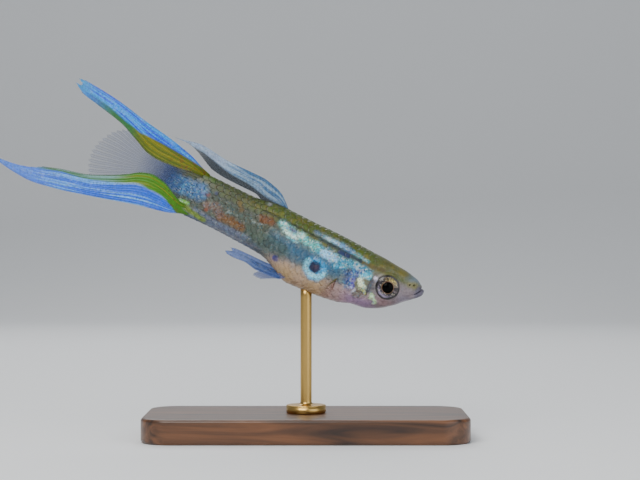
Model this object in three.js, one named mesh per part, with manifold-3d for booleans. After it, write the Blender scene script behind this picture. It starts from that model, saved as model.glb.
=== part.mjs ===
// A male fancy guppy with a double-sword tail, life size, swimming nose down over a small display stand.
//
// Units are millimetres, +Z is up, and the origin is the centre of the underside of the stand's base.
// The fish's own frame has its snout at the origin, +X forward, +Y to its left and +Z to its back. A place
// in the fish is written as (s, h): s runs back from the snout along the body axis, and h is the height over
// that axis. Every node keeps a gap of GAP to the one it grows from, and its root face follows that surface.

import * as THREE from 'three';
import { mergeVertices } from 'three/addons/utils/BufferGeometryUtils.js';
import Module from 'manifold-3d';

const wasm = await Module();
wasm.setup();

// Driving dimensions

const STANDARD_LENGTH = 27; // snout to the root of the tail fin
const PITCH = THREE.MathUtils.degToRad(22.8); // the nose points this far below the horizon
const GAP = 0.3; // between neighbouring nodes
const MEMBRANE = 0.5; // thickness of a fin between its rays
const RAY_RISE = 0.11; // how far a ray stands proud on each face of its fin
const SNOUT_AT = { x: 12.3, z: 15.55 }; // the snout over the stand's origin

const BASE = { length: 34, width: 16, height: 2.6, corner: 3.2, edge: 0.35 };
const ROD = { radius: 0.6, foot: 2.1, footHeight: 0.55, footEdge: 0.12, fillet: 0.35, sides: 24 };

// Sections of the body at its landmarks: how far back, the height of back and belly, half the width, and the
// height at which the body is widest.

const SECTIONS = [
  { at: 0.1, back: 0.66, belly: -1.25, half: 1.12, wide: -0.3 }, // front of the upper jaw
  { at: 0.9, back: 0.82, belly: -1.6, half: 1.3, wide: -0.45 }, // nostrils
  { at: 2.2, back: 1.18, belly: -2.68, half: 1.62, wide: -0.8 }, // front of the eye
  { at: 3.5, back: 1.36, belly: -3.56, half: 1.9, wide: -1.05 }, // middle of the eye
  { at: 5.1, back: 1.6, belly: -4.16, half: 2.1, wide: -1.25 }, // cheek
  { at: 6.3, back: 1.72, belly: -4.3, half: 2.2, wide: -1.35 }, // throat
  { at: 8.2, back: 1.9, belly: -4.76, half: 2.26, wide: -1.4 }, // shoulder
  { at: 10.5, back: 2.1, belly: -4.92, half: 2.24, wide: -1.4 }, // belly
  { at: 13.6, back: 2.24, belly: -4.93, half: 2.02, wide: -1.15 }, // in front of the vent
  { at: 15.3, back: 2.38, belly: -4.1, half: 1.82, wide: -0.9 }, // vent
  { at: 17.2, back: 2.48, belly: -3.27, half: 1.6, wide: -0.55 }, // below the dorsal fin
  { at: 20.0, back: 2.26, belly: -2.93, half: 1.27, wide: -0.3 }, // behind the dorsal fin
  { at: 23.5, back: 2.42, belly: -2.62, half: 0.9, wide: -0.1 }, // middle of the tail stalk
  { at: STANDARD_LENGTH, back: 2.62, belly: -2.5, half: 0.36, wide: 0.05 }, // root of the tail fin
];
const NOSE_ROUNDING = 0.95; // length over which the snout closes
const STALK_END = { bulge: 0.55, from: 23, halfHeight: 2.7 }; // its middle stands behind its edges by the bulge

// Superellipse powers of the sections. The flat crown eases into the round back over the nape.
const SQUARENESS = { head: 2.7, trunk: 2.15 };
const NAPE = { from: 4, to: 10 };

// Rings of the body's mesh, in stretches of even steps. The first one crowds its rings at the snout.
const STRETCHES = [
  { to: 1.1, steps: 8, ease: 1.6 },
  { to: 8.6, steps: 22, ease: 1 },
  { to: STANDARD_LENGTH, steps: 27, ease: 1 },
];
const BODY_SIDES = 32;
const FIRST_RING = SECTIONS[0].at + 0.02;

// Eyes, with profiles in shares of the radius that is named and of the bulge
const EYE = {
  s: 3.6, h: -1.17, radius: 1.27, pupil: 0.58, depth: 0.95, bulge: 0.3, turn: 0.1, sink: 0.12, rim: 0.16,
};
const IRIS_PROFILE = [[0.96, 0.38], [0.8, 0.72]]; // of the eye's radius
const LENS_PROFILE = [[1, 0.9], [0.92, 1.2], [0.55, 1.55], [0, 1.7]]; // of the pupil's radius
const EYE_SIDES = 22;

const NOSTRILS = [
  { s: 1.05, h: 0.12, radius: 0.13 },
  { s: 1.5, h: -0.03, radius: 0.11 },
];
const NOSTRIL_PIT = { depth: 0.5, taper: 0.6, tilt: 0.5, sink: 0.12, sides: 10 };

// The lower jaw stands in front of the upper one, and the mouth opens upwards between them.
const LOWER_LIP = {
  front: { s: 0.2, h: -0.4 }, corner: { s: 0.8, y: 0.95, h: -0.95 }, tall: 0.55, deep: 0.4, lean: -0.35,
};
const UPPER_LIP = {
  front: { s: 0.42, h: 0.16 }, corner: { s: 0.85, y: 0.98, h: -0.55 }, tall: 0.24, deep: 0.22, lean: 0,
};
const LIP_END = 0.45; // fullness of a lip at the corners of the mouth
const MOUTH = {
  s: 0.22, h: 0.12, half: 1.12, sweep: 0.25, lean: 0.2, top: 0.6, bottom: -0.1, droop: 0.6, slit: 0.14,
};

// Edges of the gill cover, from the nape down, and of the cheek in front of it
const GILL_EDGE = [
  [7.0, 3.2], [7.2, 1.2], [7.75, 0.1], [8.0, -1.1], [7.6, -2.3], [6.85, -3.1], [6.4, -3.9], [6.2, -5.6],
];
const CHEEK_EDGE = [[5.55, 0.3], [5.3, -0.6], [5.2, -2.0], [5.45, -3.2], [6.1, -3.75]];
const GILL_COVER = {
  thickness: 0.6,
  inner: 0.6, // its inner face stays at least this far from the middle plane
  past: 1.2, // how far its cutting outline runs past the gill edge
  top: [7.75, 0.35],
};
const STALK_CUT = { at: 19.9, bow: 0.05, reach: 5 }; // parts the trunk from the tail stalk

const TAIL_SWAY = { from: 26, length: 22, side: 0.5, twist: 0.16 }; // the tail fin's gentle sideways bend
const TAIL_ROOT = 25.4; // the tail fin's rays start inside the stalk

const COLOURS = {
  head: 0x8f8a62, gill: 0x9fb0a8, trunk: 0x7fa3a6, stalk: 0x97825f, eye: 0x1b1a1c, dorsal: 0xaebccc,
  upperSword: 0x4f8fe0, lowerSword: 0x7f9fe0, tailFan: 0x39507a, small: 0x9aa2c8, clear: 0xa8b0a4,
  wood: 0x4a2f1d, brass: 0xb08d4a,
};

const NUDGE = 1e-3; // step for slopes
const WELD = 1e-4; // vertices nearer than this are one
const CUT_REACH = 8; // cutting prisms reach this far to each side

// Curves

// A smooth curve through points [x, y] in rising x, with no overshoot between them (monotone cubic).
function through(points) {
  const xs = points.map((p) => p[0]);
  const ys = points.map((p) => p[1]);
  const slope = xs.slice(1).map((x, i) => (ys[i + 1] - ys[i]) / (x - xs[i]));
  const tangent = ys.map((_, i) => {
    if (i === 0) return slope[0];
    if (i === ys.length - 1) return slope[i - 1];
    const [before, after] = [slope[i - 1], slope[i]];
    return before * after <= 0 ? 0 : (2 * before * after) / (before + after);
  });
  return (x) => {
    const last = xs.length - 2;
    const found = xs.findIndex((edge, i) => i > 0 && x < edge) - 1;
    const i = x <= xs[0] ? 0 : found < 0 ? last : found;
    const step = xs[i + 1] - xs[i];
    const t = (x - xs[i]) / step;
    const [t2, t3] = [t * t, t * t * t];
    return (
      (2 * t3 - 3 * t2 + 1) * ys[i] + (t3 - 2 * t2 + t) * step * tangent[i] +
      (3 * t2 - 2 * t3) * ys[i + 1] + (t3 - t2) * step * tangent[i + 1]
    );
  };
}

const { lerp, clamp, smoothstep } = THREE.MathUtils;
const inFish = (s, y, h) => new THREE.Vector3(-s, y, h);
const shares = (steps) => Array.from({ length: steps + 1 }, (_, i) => i / steps);

// Closed surfaces

function geometryOf(vertices, triangles) {
  const geometry = new THREE.BufferGeometry();
  geometry.setAttribute('position', new THREE.Float32BufferAttribute(vertices.flatMap((v) => v.toArray()), 3));
  geometry.setIndex(triangles);
  return geometry;
}

// Joins rings of equally many points into a closed body, with a fan over each end.
function loft(rings) {
  const around = rings[0].length;
  const vertices = rings.flat();
  const triangles = [];
  for (let i = 0; i + 1 < rings.length; i++) {
    for (let j = 0; j < around; j++) {
      const [a, b] = [i * around + j, i * around + ((j + 1) % around)];
      triangles.push(a, a + around, b, b, a + around, b + around);
    }
  }
  [0, rings.length - 1].forEach((ring) => {
    const centre = rings[ring].reduce((sum, p) => sum.add(p), new THREE.Vector3()).divideScalar(around);
    const hub = vertices.push(centre) - 1;
    for (let j = 0; j < around; j++) {
      const [a, b] = [ring * around + j, ring * around + ((j + 1) % around)];
      triangles.push(...(ring === 0 ? [hub, a, b] : [hub, b, a]));
    }
  });
  return geometryOf(vertices, triangles);
}

// A sheet with a thickness: point(u, v) is its middle surface and half(u, v) half its thickness. Both faces
// are split into triangles alike, so that they can't cross.
function sheet(point, half, us, vs) {
  const faces = [-1, 1].map((side) =>
    us.flatMap((u) =>
      vs.map((v) => {
        const alongU = point(u + NUDGE, v).sub(point(u - NUDGE, v));
        const alongV = point(u, v + NUDGE).sub(point(u, v - NUDGE));
        const normal = alongU.cross(alongV).normalize();
        return point(u, v).addScaledVector(normal, side * half(u, v));
      })));
  const rows = vs.length;
  const back = us.length * rows;
  const at = (i, j) => i * rows + j;
  const triangles = [];
  for (let i = 0; i + 1 < us.length; i++) {
    for (let j = 0; j + 1 < rows; j++) {
      const [a, b, c, d] = [at(i, j), at(i + 1, j), at(i + 1, j + 1), at(i, j + 1)];
      triangles.push(a, c, b, a, d, c, back + a, back + b, back + c, back + a, back + c, back + d);
    }
  }
  const rim = [];
  for (let i = 0; i + 1 < us.length; i++) rim.push(at(i, 0));
  for (let j = 0; j + 1 < rows; j++) rim.push(at(us.length - 1, j));
  for (let i = us.length - 1; i > 0; i--) rim.push(at(i, rows - 1));
  for (let j = rows - 1; j > 0; j--) rim.push(at(0, j));
  rim.forEach((a, i) => {
    const b = rim[(i + 1) % rim.length];
    triangles.push(a, b, back + b, a, back + b, back + a);
  });
  return geometryOf([...faces[0], ...faces[1]], triangles);
}

// A bar of varying, oval section along path(t), t from 0 to 1.
function bar(path, size, steps, sides) {
  const rings = shares(steps).map((t) => {
    const along = path(t + NUDGE).sub(path(t - NUDGE)).normalize();
    const { tall, deep, upright } = size(t);
    const across = new THREE.Vector3().crossVectors(along, upright).normalize();
    const up = new THREE.Vector3().crossVectors(across, along);
    return Array.from({ length: sides }, (_, j) => {
      const turn = (-2 * Math.PI * j) / sides;
      return path(t).addScaledVector(up, tall * Math.sin(turn)).addScaledVector(across, deep * Math.cos(turn));
    });
  });
  return loft(rings);
}

// A prism through the whole width of the fish, over an outline of [s, h] points.
function prism(outline) {
  const shape = new THREE.Shape(outline.map(([s, h]) => new THREE.Vector2(-s, h)));
  return new THREE.ExtrudeGeometry(shape, { depth: 2 * CUT_REACH, bevelEnabled: false })
    .rotateX(Math.PI / 2).translate(0, CUT_REACH, 0);
}

// The outline of a band of the given thickness along a smooth line of [s, h] points.
function band(points, thickness, steps) {
  const line = new THREE.SplineCurve(points.map(([s, h]) => new THREE.Vector2(s, h)));
  const beside = (t, offset) => {
    const p = line.getPoint(t);
    const along = line.getTangent(t);
    return [p.x - along.y * offset, p.y + along.x * offset];
  };
  return [
    ...shares(steps).map((t) => beside(t, thickness / 2)),
    ...shares(steps).reverse().map((t) => beside(t, -thickness / 2)),
  ];
}

// Solids

function solid(geometry) {
  const bare = geometry.clone();
  const spare = Object.keys(bare.attributes).filter((name) => name !== 'position');
  spare.forEach((name) => bare.deleteAttribute(name));
  const merged = mergeVertices(bare, WELD);
  return new wasm.Manifold(new wasm.Mesh({
    numProp: 3,
    vertProperties: new Float32Array(merged.attributes.position.array),
    triVerts: new Uint32Array(merged.index.array),
  }));
}

// The solid of a geometry whose faces may all be turned inwards, as a mirrored one's are.
function facingOut(geometry) {
  const made = solid(geometry);
  if (made.volume() > 0) return made;
  const flipped = geometry.clone();
  const index = flipped.index.array;
  for (let i = 0; i < index.length; i += 3) [index[i + 1], index[i + 2]] = [index[i + 2], index[i + 1]];
  return solid(flipped);
}

// The largest closed body of a solid, which drops any scrap that a cut leaves.
function largest(made) {
  return made.decompose().sort((a, b) => b.volume() - a.volume())[0];
}

function meshOf(name, made, colour, { roughness = 0.45, metalness = 0 } = {}) {
  const { vertProperties, triVerts, numProp, numVert } = largest(made).getMesh();
  const position = new Float32Array(numVert * 3);
  for (let i = 0; i < numVert; i++) position.set(vertProperties.subarray(i * numProp, i * numProp + 3), i * 3);
  const geometry = new THREE.BufferGeometry();
  geometry.setAttribute('position', new THREE.BufferAttribute(position, 3));
  geometry.setIndex(new THREE.BufferAttribute(new Uint32Array(triVerts), 1));
  geometry.computeVertexNormals();
  const material = new THREE.MeshStandardMaterial({ color: colour, roughness, metalness });
  const mesh = new THREE.Mesh(geometry, material);
  mesh.name = name;
  return mesh;
}

// Body surface

const profile = Object.fromEntries(['back', 'belly', 'half', 'wide'].map((key) =>
  [key, through(SECTIONS.map((section) => [section.at, section[key]]))]));

const crownPower = (s) => lerp(SQUARENESS.head, SQUARENESS.trunk, smoothstep(s, NAPE.from, NAPE.to));

// A point of the body's skin, at s and a turn round the section from its left side (0) over the back.
function bodyPoint(s, turn) {
  const closing = clamp((s - SECTIONS[0].at) / NOSE_ROUNDING, 0, 1);
  const open = Math.sqrt(1 - (1 - closing) ** 2);
  const wide = profile.wide(s);
  const [c, n] = [Math.cos(turn), Math.sin(turn)];
  const power = 2 / (n > 0 ? crownPower(s) : SQUARENESS.trunk);
  const reach = n > 0 ? profile.back(s) - wide : wide - profile.belly(s);
  const y = open * profile.half(s) * Math.sign(c) * Math.abs(c) ** power;
  const h = wide + open * reach * Math.sign(n) * Math.abs(n) ** power;
  const round = 1 - (h / STALK_END.halfHeight) ** 2;
  const bulge = STALK_END.bulge * smoothstep(s, STALK_END.from, STANDARD_LENGTH) * round;
  return inFish(s + bulge, y, h);
}

// Half the body's width at (s, h).
function bodyHalfWidth(s, h) {
  const wide = profile.wide(s);
  const reach = h > wide ? profile.back(s) - wide : wide - profile.belly(s);
  const power = h > wide ? crownPower(s) : SQUARENESS.trunk;
  const share = clamp(Math.abs(h - wide) / reach, 0, 1);
  return profile.half(s) * (1 - share ** power) ** (1 / power);
}

function bodyRings() {
  const places = [FIRST_RING];
  for (const { to, steps, ease } of STRETCHES) {
    const from = places[places.length - 1];
    places.push(...shares(steps).slice(1).map((t) => lerp(from, to, t ** ease)));
  }
  return places.map((s) =>
    Array.from({ length: BODY_SIDES }, (_, j) => bodyPoint(s, (2 * Math.PI * j) / BODY_SIDES)));
}

const bodyGeometry = loft(bodyRings());
const body = solid(bodyGeometry);

// The body with its skin moved out along its normals, or in where offset is negative.
function bodyOffset(offset) {
  const moved = mergeVertices(bodyGeometry.clone(), WELD);
  moved.computeVertexNormals();
  const { position, normal } = moved.attributes;
  const [p, n] = [new THREE.Vector3(), new THREE.Vector3()];
  for (let i = 0; i < position.count; i++) {
    p.fromBufferAttribute(position, i).addScaledVector(n.fromBufferAttribute(normal, i), offset);
    position.setXYZ(i, p.x, p.y, p.z);
  }
  return solid(moved);
}

const clearOfBody = bodyOffset(GAP);

// Head, with eyes, lips, mouth line, nostrils and gill covers

const SIDES = { right: -1, left: 1 };

// The eyeball on its own axis (+Y outward), with the round lens standing in the pupil; grow adds a margin.
function eyeball(grow) {
  const { radius, pupil, depth, bulge } = EYE;
  const backHalf = shares(6).map((share) => {
    const turn = (Math.PI / 2) * share;
    return new THREE.Vector2((radius + grow) * Math.sin(turn), -(depth + grow) * Math.cos(turn));
  });
  const iris = IRIS_PROFILE.map(([out, up]) => new THREE.Vector2(radius * out + grow, bulge * up + grow));
  const lens = LENS_PROFILE.map(([out, up]) => new THREE.Vector2(pupil * out, bulge * up + grow));
  return new THREE.LatheGeometry([...backHalf, ...iris, ...lens], EYE_SIDES);
}

// Sets a form of the eye's own axis into the side of the head, turned a little to the front.
function placeEye(geometry, side) {
  const seat = bodyHalfWidth(EYE.s, EYE.h) - EYE.sink;
  return geometry
    .scale(1, side, 1)
    .rotateZ(-side * EYE.turn)
    .translate(-EYE.s, side * seat, EYE.h);
}

function orbitRim(side) {
  const ring = new THREE.TorusGeometry(EYE.radius + GAP, EYE.rim, 6, 24).rotateX(Math.PI / 2);
  return facingOut(placeEye(ring, side));
}

// A lip runs round the snout from the right corner of the mouth to the left one.
function lip({ front, corner, tall, deep, lean }) {
  const forward = (t) => Math.cos((t - 0.5) * Math.PI);
  const sideways = (t) => Math.sin((t - 0.5) * Math.PI);
  const path = (t) => inFish(
    lerp(corner.s, front.s, forward(t)), corner.y * sideways(t), lerp(corner.h, front.h, forward(t)));
  const upright = inFish(lean, 0, 1).normalize();
  const size = (t) => {
    const fullness = lerp(LIP_END, 1, forward(t));
    return { tall: tall * fullness, deep: deep * fullness, upright };
  };
  return facingOut(bar(path, size, 14, 10));
}

// The mouth line: a thin slit between the lips, which comes down and back to the corners.
function mouthSlit() {
  const point = (u, v) => {
    const y = lerp(-MOUTH.half, MOUTH.half, u);
    const low = MOUTH.bottom - MOUTH.droop * Math.min(1, Math.abs(y)) ** 2;
    const h = lerp(MOUTH.top, low, v);
    return inFish(MOUTH.s + MOUTH.sweep * y * y - MOUTH.lean * (h - MOUTH.h), y, h);
  };
  return facingOut(sheet(point, () => MOUTH.slit / 2, shares(16), shares(4)));
}

function nostril({ s, h, radius }, side) {
  const { depth, taper, tilt, sink, sides } = NOSTRIL_PIT;
  const pit = new THREE.CylinderGeometry(radius, radius * taper, depth, sides);
  return solid(pit.rotateX(side * tilt).translate(-s, side * (bodyHalfWidth(s, h) - sink), h));
}

const gillCut = solid(prism(band(GILL_EDGE, GAP, 18)));
const stalkLine = [1, 0, -1].map((up) => [STALK_CUT.at - STALK_CUT.bow * Math.abs(up), STALK_CUT.reach * up]);
const stalkCut = solid(prism(band(stalkLine, GAP, 2)));
const [plainHead, plainTrunk, plainStalk] = body.subtract(gillCut).subtract(stalkCut).decompose()
  .sort((a, b) => b.boundingBox().max[0] - a.boundingBox().max[0]);

// One gill cover is the plate between the cheek's edge and the gill edge. A margin widens its outline.
function gillCoverOutline(margin) {
  const cheek = CHEEK_EDGE.map(([s, h]) => [s - margin, h]);
  cheek[0][1] += margin;
  cheek[cheek.length - 1][1] -= margin;
  const rear = GILL_EDGE.slice(2, -1).reverse().map(([s, h]) => [s + GILL_COVER.past, h]);
  const [topS, topH] = GILL_COVER.top;
  return [...cheek, ...rear, [topS, topH + margin]];
}

function halfSpace(side) {
  const box = new THREE.BoxGeometry(8 * CUT_REACH, 2 * CUT_REACH, 8 * CUT_REACH);
  return solid(box.translate(0, side * (CUT_REACH + GILL_COVER.inner), 0));
}

const gillBed = bodyOffset(-GILL_COVER.thickness - GAP);
const gillBack = bodyOffset(-GILL_COVER.thickness);

function gillCover(side) {
  return plainHead.intersect(solid(prism(gillCoverOutline(0)))).intersect(halfSpace(side)).subtract(gillBack);
}

function gillRecess(side) {
  return solid(prism(gillCoverOutline(GAP))).intersect(halfSpace(side)).subtract(gillBed);
}

function head() {
  let made = plainHead.add(lip(LOWER_LIP)).add(lip(UPPER_LIP));
  for (const side of Object.values(SIDES)) {
    const socket = facingOut(placeEye(eyeball(GAP), side));
    made = made.add(orbitRim(side)).subtract(gillRecess(side)).subtract(socket);
    for (const pit of NOSTRILS) made = made.subtract(nostril(pit, side));
  }
  return made.subtract(mouthSlit());
}

// Fins

// Half a fin's thickness: rays stand proud of the membrane, and all of it thins to the share named tip.
function finHalf({ rays, tip = 0.35 }) {
  return (u, v) => {
    const place = u * (rays - 1);
    const onRay = 1 - Math.min(1, 2 * Math.abs(place - Math.round(place)));
    return (MEMBRANE / 2 + RAY_RISE * onRay) * lerp(1, tip, v ** 4);
  };
}

// The membrane between two rays ends a little short of their tips.
function scallop({ rays, notch }) {
  return (u) => 1 - notch * Math.abs(Math.sin(Math.PI * u * (rays - 1)));
}

// A fin's sheet, with a column on each ray and one between each pair, cut back to GAP from the body.
function finSheet(point, fin) {
  const across = shares(2 * fin.rays - 2);
  return facingOut(sheet(point, finHalf(fin), across, shares(fin.steps))).subtract(clearOfBody);
}

// A median fin is drawn in the (s, h) plane between its lower and upper edge. Its rays keep their share of the
// height between the edges, start at from(u) and end at ends(u), and aside(s, h) is their place to the side.
function medianFin(fin, aside) {
  const { low, top, ends, from } = fin;
  const reach = scallop(fin);
  const point = (u, v) => {
    const s = lerp(from(u), ends(clamp(u, 0, 1)), v * reach(u));
    const h = lerp(low(s), top(s), u);
    return inFish(s, aside(s, h), h);
  };
  return finSheet(point, fin);
}

function tailSway(s, h) {
  const t = Math.max(0, (s - TAIL_SWAY.from) / TAIL_SWAY.length);
  return t * t * (TAIL_SWAY.side + TAIL_SWAY.twist * h);
}

const UPPER_SWORD = {
  rays: 6, steps: 22, notch: 0.008, from: () => TAIL_ROOT,
  top: through([
    [25, 2.4], [26.3, 2.85], [28, 3.62], [30.6, 4.4], [34.2, 5.2], [37, 5.93], [38.8, 6.28], [42.5, 6.8],
  ]),
  low: through([
    [25, 1.95], [27.4, 2.02], [28.6, 1.86], [31, 1.83], [32.4, 2.08], [34, 2.87], [36.2, 3.9], [39.3, 4.75],
    [41.2, 5.25], [42.5, 5.95],
  ]),
  ends: through([[0, 41.4], [0.2, 42.45], [0.4, 41.9], [0.6, 41.8], [0.8, 42.3], [1, 41.6]]),
};
const LOWER_SWORD = {
  rays: 7, steps: 26, notch: 0.008, from: () => TAIL_ROOT,
  top: through([
    [25, -1.45], [27, -1.3], [28, -0.85], [29.6, -0.05], [31, 0.22], [32.2, -0.05], [33.5, -0.78],
    [35.2, -1.62], [37.4, -2.45], [40.2, -3.0], [42.3, -3.55], [44.5, -3.95], [48, -4.28],
  ]),
  low: through([
    [25, -2.15], [26.5, -2.42], [28.2, -2.93], [31.2, -3.4], [36.2, -4.45], [40.2, -5.18], [42.7, -5.42],
    [44.3, -5.27], [48, -4.5],
  ]),
  ends: through([[0, 47.6], [0.25, 47.9], [0.5, 47], [0.7, 44.6], [0.85, 43], [1, 42.1]]),
};
// The clear middle of the tail fin fills the space between the two swords.
const TAIL_FAN = {
  rays: 10, steps: 12, notch: 0.02, from: () => TAIL_ROOT,
  top: (s) => UPPER_SWORD.low(s) - GAP,
  low: (s) => LOWER_SWORD.top(s) + GAP,
  ends: through([[0, 37.5], [0.35, 38.1], [0.7, 37.2], [1, 35.4]]),
};

// The dorsal fin's rays rise out of the back one behind the other and sweep back close over the stalk.
const DORSAL = {
  rays: 8, steps: 20, notch: 0.012, from: () => 16.2, lean: 0.1,
  top: through([
    [16.2, 2.2], [16.8, 2.85], [17.7, 3.62], [18.8, 4.08], [20.2, 4.42], [24, 4.58], [27.7, 5.12], [30.6, 4.78],
  ]),
  low: through([
    [16.2, 1.9], [19, 2.05], [20.3, 2.58], [22, 2.68], [24, 2.84], [26, 3.28], [27.4, 3.8], [28.6, 4.28],
    [30.6, 4.62],
  ]),
  ends: through([[0, 25.6], [0.3, 27.6], [0.55, 29.4], [0.72, 30.5], [0.86, 29.3], [1, 27.9]]),
};
const dorsalLean = (s, h) => DORSAL.lean * Math.max(0, h - profile.back(DORSAL.from()));

// The male's anal fin is a narrow organ that lies back along the belly.
const GONOPODIUM = {
  rays: 4, steps: 12, notch: 0.015, tip: 0.45, from: (u) => lerp(13.9, 15.2, u),
  low: through([[13.9, -4.45], [14.6, -4.85], [16.9, -4.88], [18.6, -4.55], [19.6, -4.58], [21, -4.42]]),
  top: through([[14.9, -3.7], [16.4, -3.72], [18.4, -3.63], [19.8, -3.6], [21, -3.9]]),
  ends: through([[0, 20.6], [0.35, 20.9], [0.66, 20.2], [1, 20.5]]),
};

// Paired fins: where the first and last ray start, how far out, the rays' angles below the body axis and their
// lengths across the fin, and how the fin stands off the body.
const PECTORAL = {
  rays: 10, steps: 8, notch: 0.03,
  root: { from: [8.55, -1.8], to: [8.8, -2.7], out: 1.75 },
  angles: [0.88, 1.5],
  length: through([[0, 3.1], [0.35, 2.85], [0.7, 2.35], [1, 1.8]]),
  flare: 0.75, tilt: 0.18, curl: -0.03,
};
const PELVIC = {
  rays: 5, steps: 6, notch: 0.03,
  root: { from: [13.3, -4.2], to: [14.3, -4.15], out: 0.85 },
  angles: [0.42, 0.26],
  length: through([[0, 3.3], [0.4, 3.7], [1, 2.5]]),
  flare: 0.16, tilt: 0.1, curl: 0,
};

// A paired fin is a fan in its own plane: rays leave the root at angles from the first to the last ray.
function pairedFin(fin, side) {
  const { root, tilt, angles, length, flare, curl } = fin;
  const reach = scallop(fin);
  const point = (u, v) => {
    const angle = lerp(angles[0], angles[1], u);
    const run = length(clamp(u, 0, 1)) * v * reach(u);
    const start = [lerp(root.from[0], root.to[0], u), lerp(root.from[1], root.to[1], u)];
    const [back, down] = [run * Math.cos(angle), run * Math.sin(angle)];
    const out = root.out + back * Math.sin(flare) + down * tilt + curl * run * run;
    return inFish(start[0] + back * Math.cos(flare), side * out, start[1] - down);
  };
  return finSheet(point, fin);
}

// Stand

function standBase() {
  const { length, width, height, corner, edge } = BASE;
  const [x, y] = [length / 2 - edge, width / 2 - edge];
  const shape = new THREE.Shape();
  shape.moveTo(-x + corner, -y).lineTo(x - corner, -y).quadraticCurveTo(x, -y, x, -y + corner)
    .lineTo(x, y - corner).quadraticCurveTo(x, y, x - corner, y)
    .lineTo(-x + corner, y).quadraticCurveTo(-x, y, -x, y - corner)
    .lineTo(-x, -y + corner).quadraticCurveTo(-x, -y, -x + corner, -y);
  const bevel = { bevelSize: edge, bevelThickness: edge, bevelSegments: 2 };
  const geometry = new THREE.ExtrudeGeometry(shape, { depth: height - 2 * edge, curveSegments: 6, ...bevel });
  return solid(geometry.translate(0, 0, edge));
}

// The rod and its turned foot are one piece. Its top is cut to the belly, which it meets over GAP.
function standRod(fishMatrix) {
  const { radius, foot, footHeight, footEdge, fillet, sides } = ROD;
  const bottom = BASE.height + GAP;
  const top = SNOUT_AT.z - bottom;
  const outline = [
    [0, 0], [foot - footEdge, 0], [foot, footEdge], [foot, footHeight - footEdge], [foot - footEdge, footHeight],
    [radius + fillet, footHeight], [radius + fillet * 0.3, footHeight + fillet * 0.3],
    [radius, footHeight + fillet], [radius, top], [0, top],
  ];
  const turned = new THREE.LatheGeometry(outline.map(([r, z]) => new THREE.Vector2(r, z)), sides);
  turned.rotateX(Math.PI / 2).translate(0, 0, bottom);
  return facingOut(turned).subtract(clearOfBody.transform(fishMatrix.toArray()));
}

// Assembly

const FIN_FINISH = { roughness: 0.3 };
const GILL_FINISH = { roughness: 0.3, metalness: 0.3 };
const WET_FINISH = { roughness: 0.15 };
const WOOD_FINISH = { roughness: 0.5 };
const BRASS_FINISH = { roughness: 0.3, metalness: 0.9 };

const fish = new THREE.Group();
fish.rotation.y = PITCH;
fish.position.set(SNOUT_AT.x, 0, SNOUT_AT.z);
fish.updateMatrix();

fish.add(meshOf('head', head(), COLOURS.head));
fish.add(meshOf('trunk', plainTrunk, COLOURS.trunk));
fish.add(meshOf('tail_stalk', plainStalk, COLOURS.stalk));
for (const [name, side] of Object.entries(SIDES)) {
  fish.add(meshOf(`eye_${name}`, facingOut(placeEye(eyeball(0), side)), COLOURS.eye, WET_FINISH));
  fish.add(meshOf(`gill_cover_${name}`, gillCover(side), COLOURS.gill, GILL_FINISH));
  fish.add(meshOf(`pectoral_fin_${name}`, pairedFin(PECTORAL, side), COLOURS.clear, FIN_FINISH));
  fish.add(meshOf(`pelvic_fin_${name}`, pairedFin(PELVIC, side), COLOURS.small, FIN_FINISH));
}
fish.add(meshOf('dorsal_fin', medianFin(DORSAL, dorsalLean), COLOURS.dorsal, FIN_FINISH));
fish.add(meshOf('gonopodium', medianFin(GONOPODIUM, () => 0), COLOURS.small, FIN_FINISH));
fish.add(meshOf('tail_sword_upper', medianFin(UPPER_SWORD, tailSway), COLOURS.upperSword, FIN_FINISH));
fish.add(meshOf('tail_sword_lower', medianFin(LOWER_SWORD, tailSway), COLOURS.lowerSword, FIN_FINISH));
fish.add(meshOf('tail_fin', medianFin(TAIL_FAN, tailSway), COLOURS.tailFan, FIN_FINISH));

const model = new THREE.Group();
model.add(fish);
model.add(meshOf('stand_base', standBase(), COLOURS.wood, WOOD_FINISH));
model.add(meshOf('stand_rod', standRod(fish.matrix), COLOURS.brass, BRASS_FINISH));

export default model;
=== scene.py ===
"""A life-size still model of a male double-sword guppy, swimming nose down over a small display stand.

Lengths are worked out in millimetres in the fish's own frame, and are turned into the row frame, in metres,
when a mesh is made. A place in the fish is (s, y, h): s runs back from the snout along the body's axis, y is
the distance to the left of the middle plane and h is the height over the axis. Colours are given as they show
on a display, from 0 to 255.
"""

import logging
import math
from dataclasses import dataclass, field
from typing import Callable, Sequence

import bpy
import numpy as np
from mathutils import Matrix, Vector


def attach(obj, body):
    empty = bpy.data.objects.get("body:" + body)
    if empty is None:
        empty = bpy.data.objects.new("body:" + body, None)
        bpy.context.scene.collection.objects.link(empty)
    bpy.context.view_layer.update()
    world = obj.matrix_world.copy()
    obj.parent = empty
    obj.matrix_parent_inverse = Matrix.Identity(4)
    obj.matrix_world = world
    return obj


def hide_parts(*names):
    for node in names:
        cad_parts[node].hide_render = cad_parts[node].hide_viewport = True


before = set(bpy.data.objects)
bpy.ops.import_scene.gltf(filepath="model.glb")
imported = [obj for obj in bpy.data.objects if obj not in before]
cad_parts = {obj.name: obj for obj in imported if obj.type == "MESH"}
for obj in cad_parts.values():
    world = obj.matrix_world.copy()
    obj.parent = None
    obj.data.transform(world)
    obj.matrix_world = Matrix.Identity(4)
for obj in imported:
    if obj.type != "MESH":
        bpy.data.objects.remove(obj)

log = logging.getLogger("guppy")
logging.basicConfig(level=logging.INFO, format="%(name)s: %(message)s")

Array = np.ndarray
Span = tuple[float, float]
Curve = Callable[[Array], Array]
Place = Callable[[Array, Array], Array]
Painted = tuple[Array, Array, Array]
Material = bpy.types.Material

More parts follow.
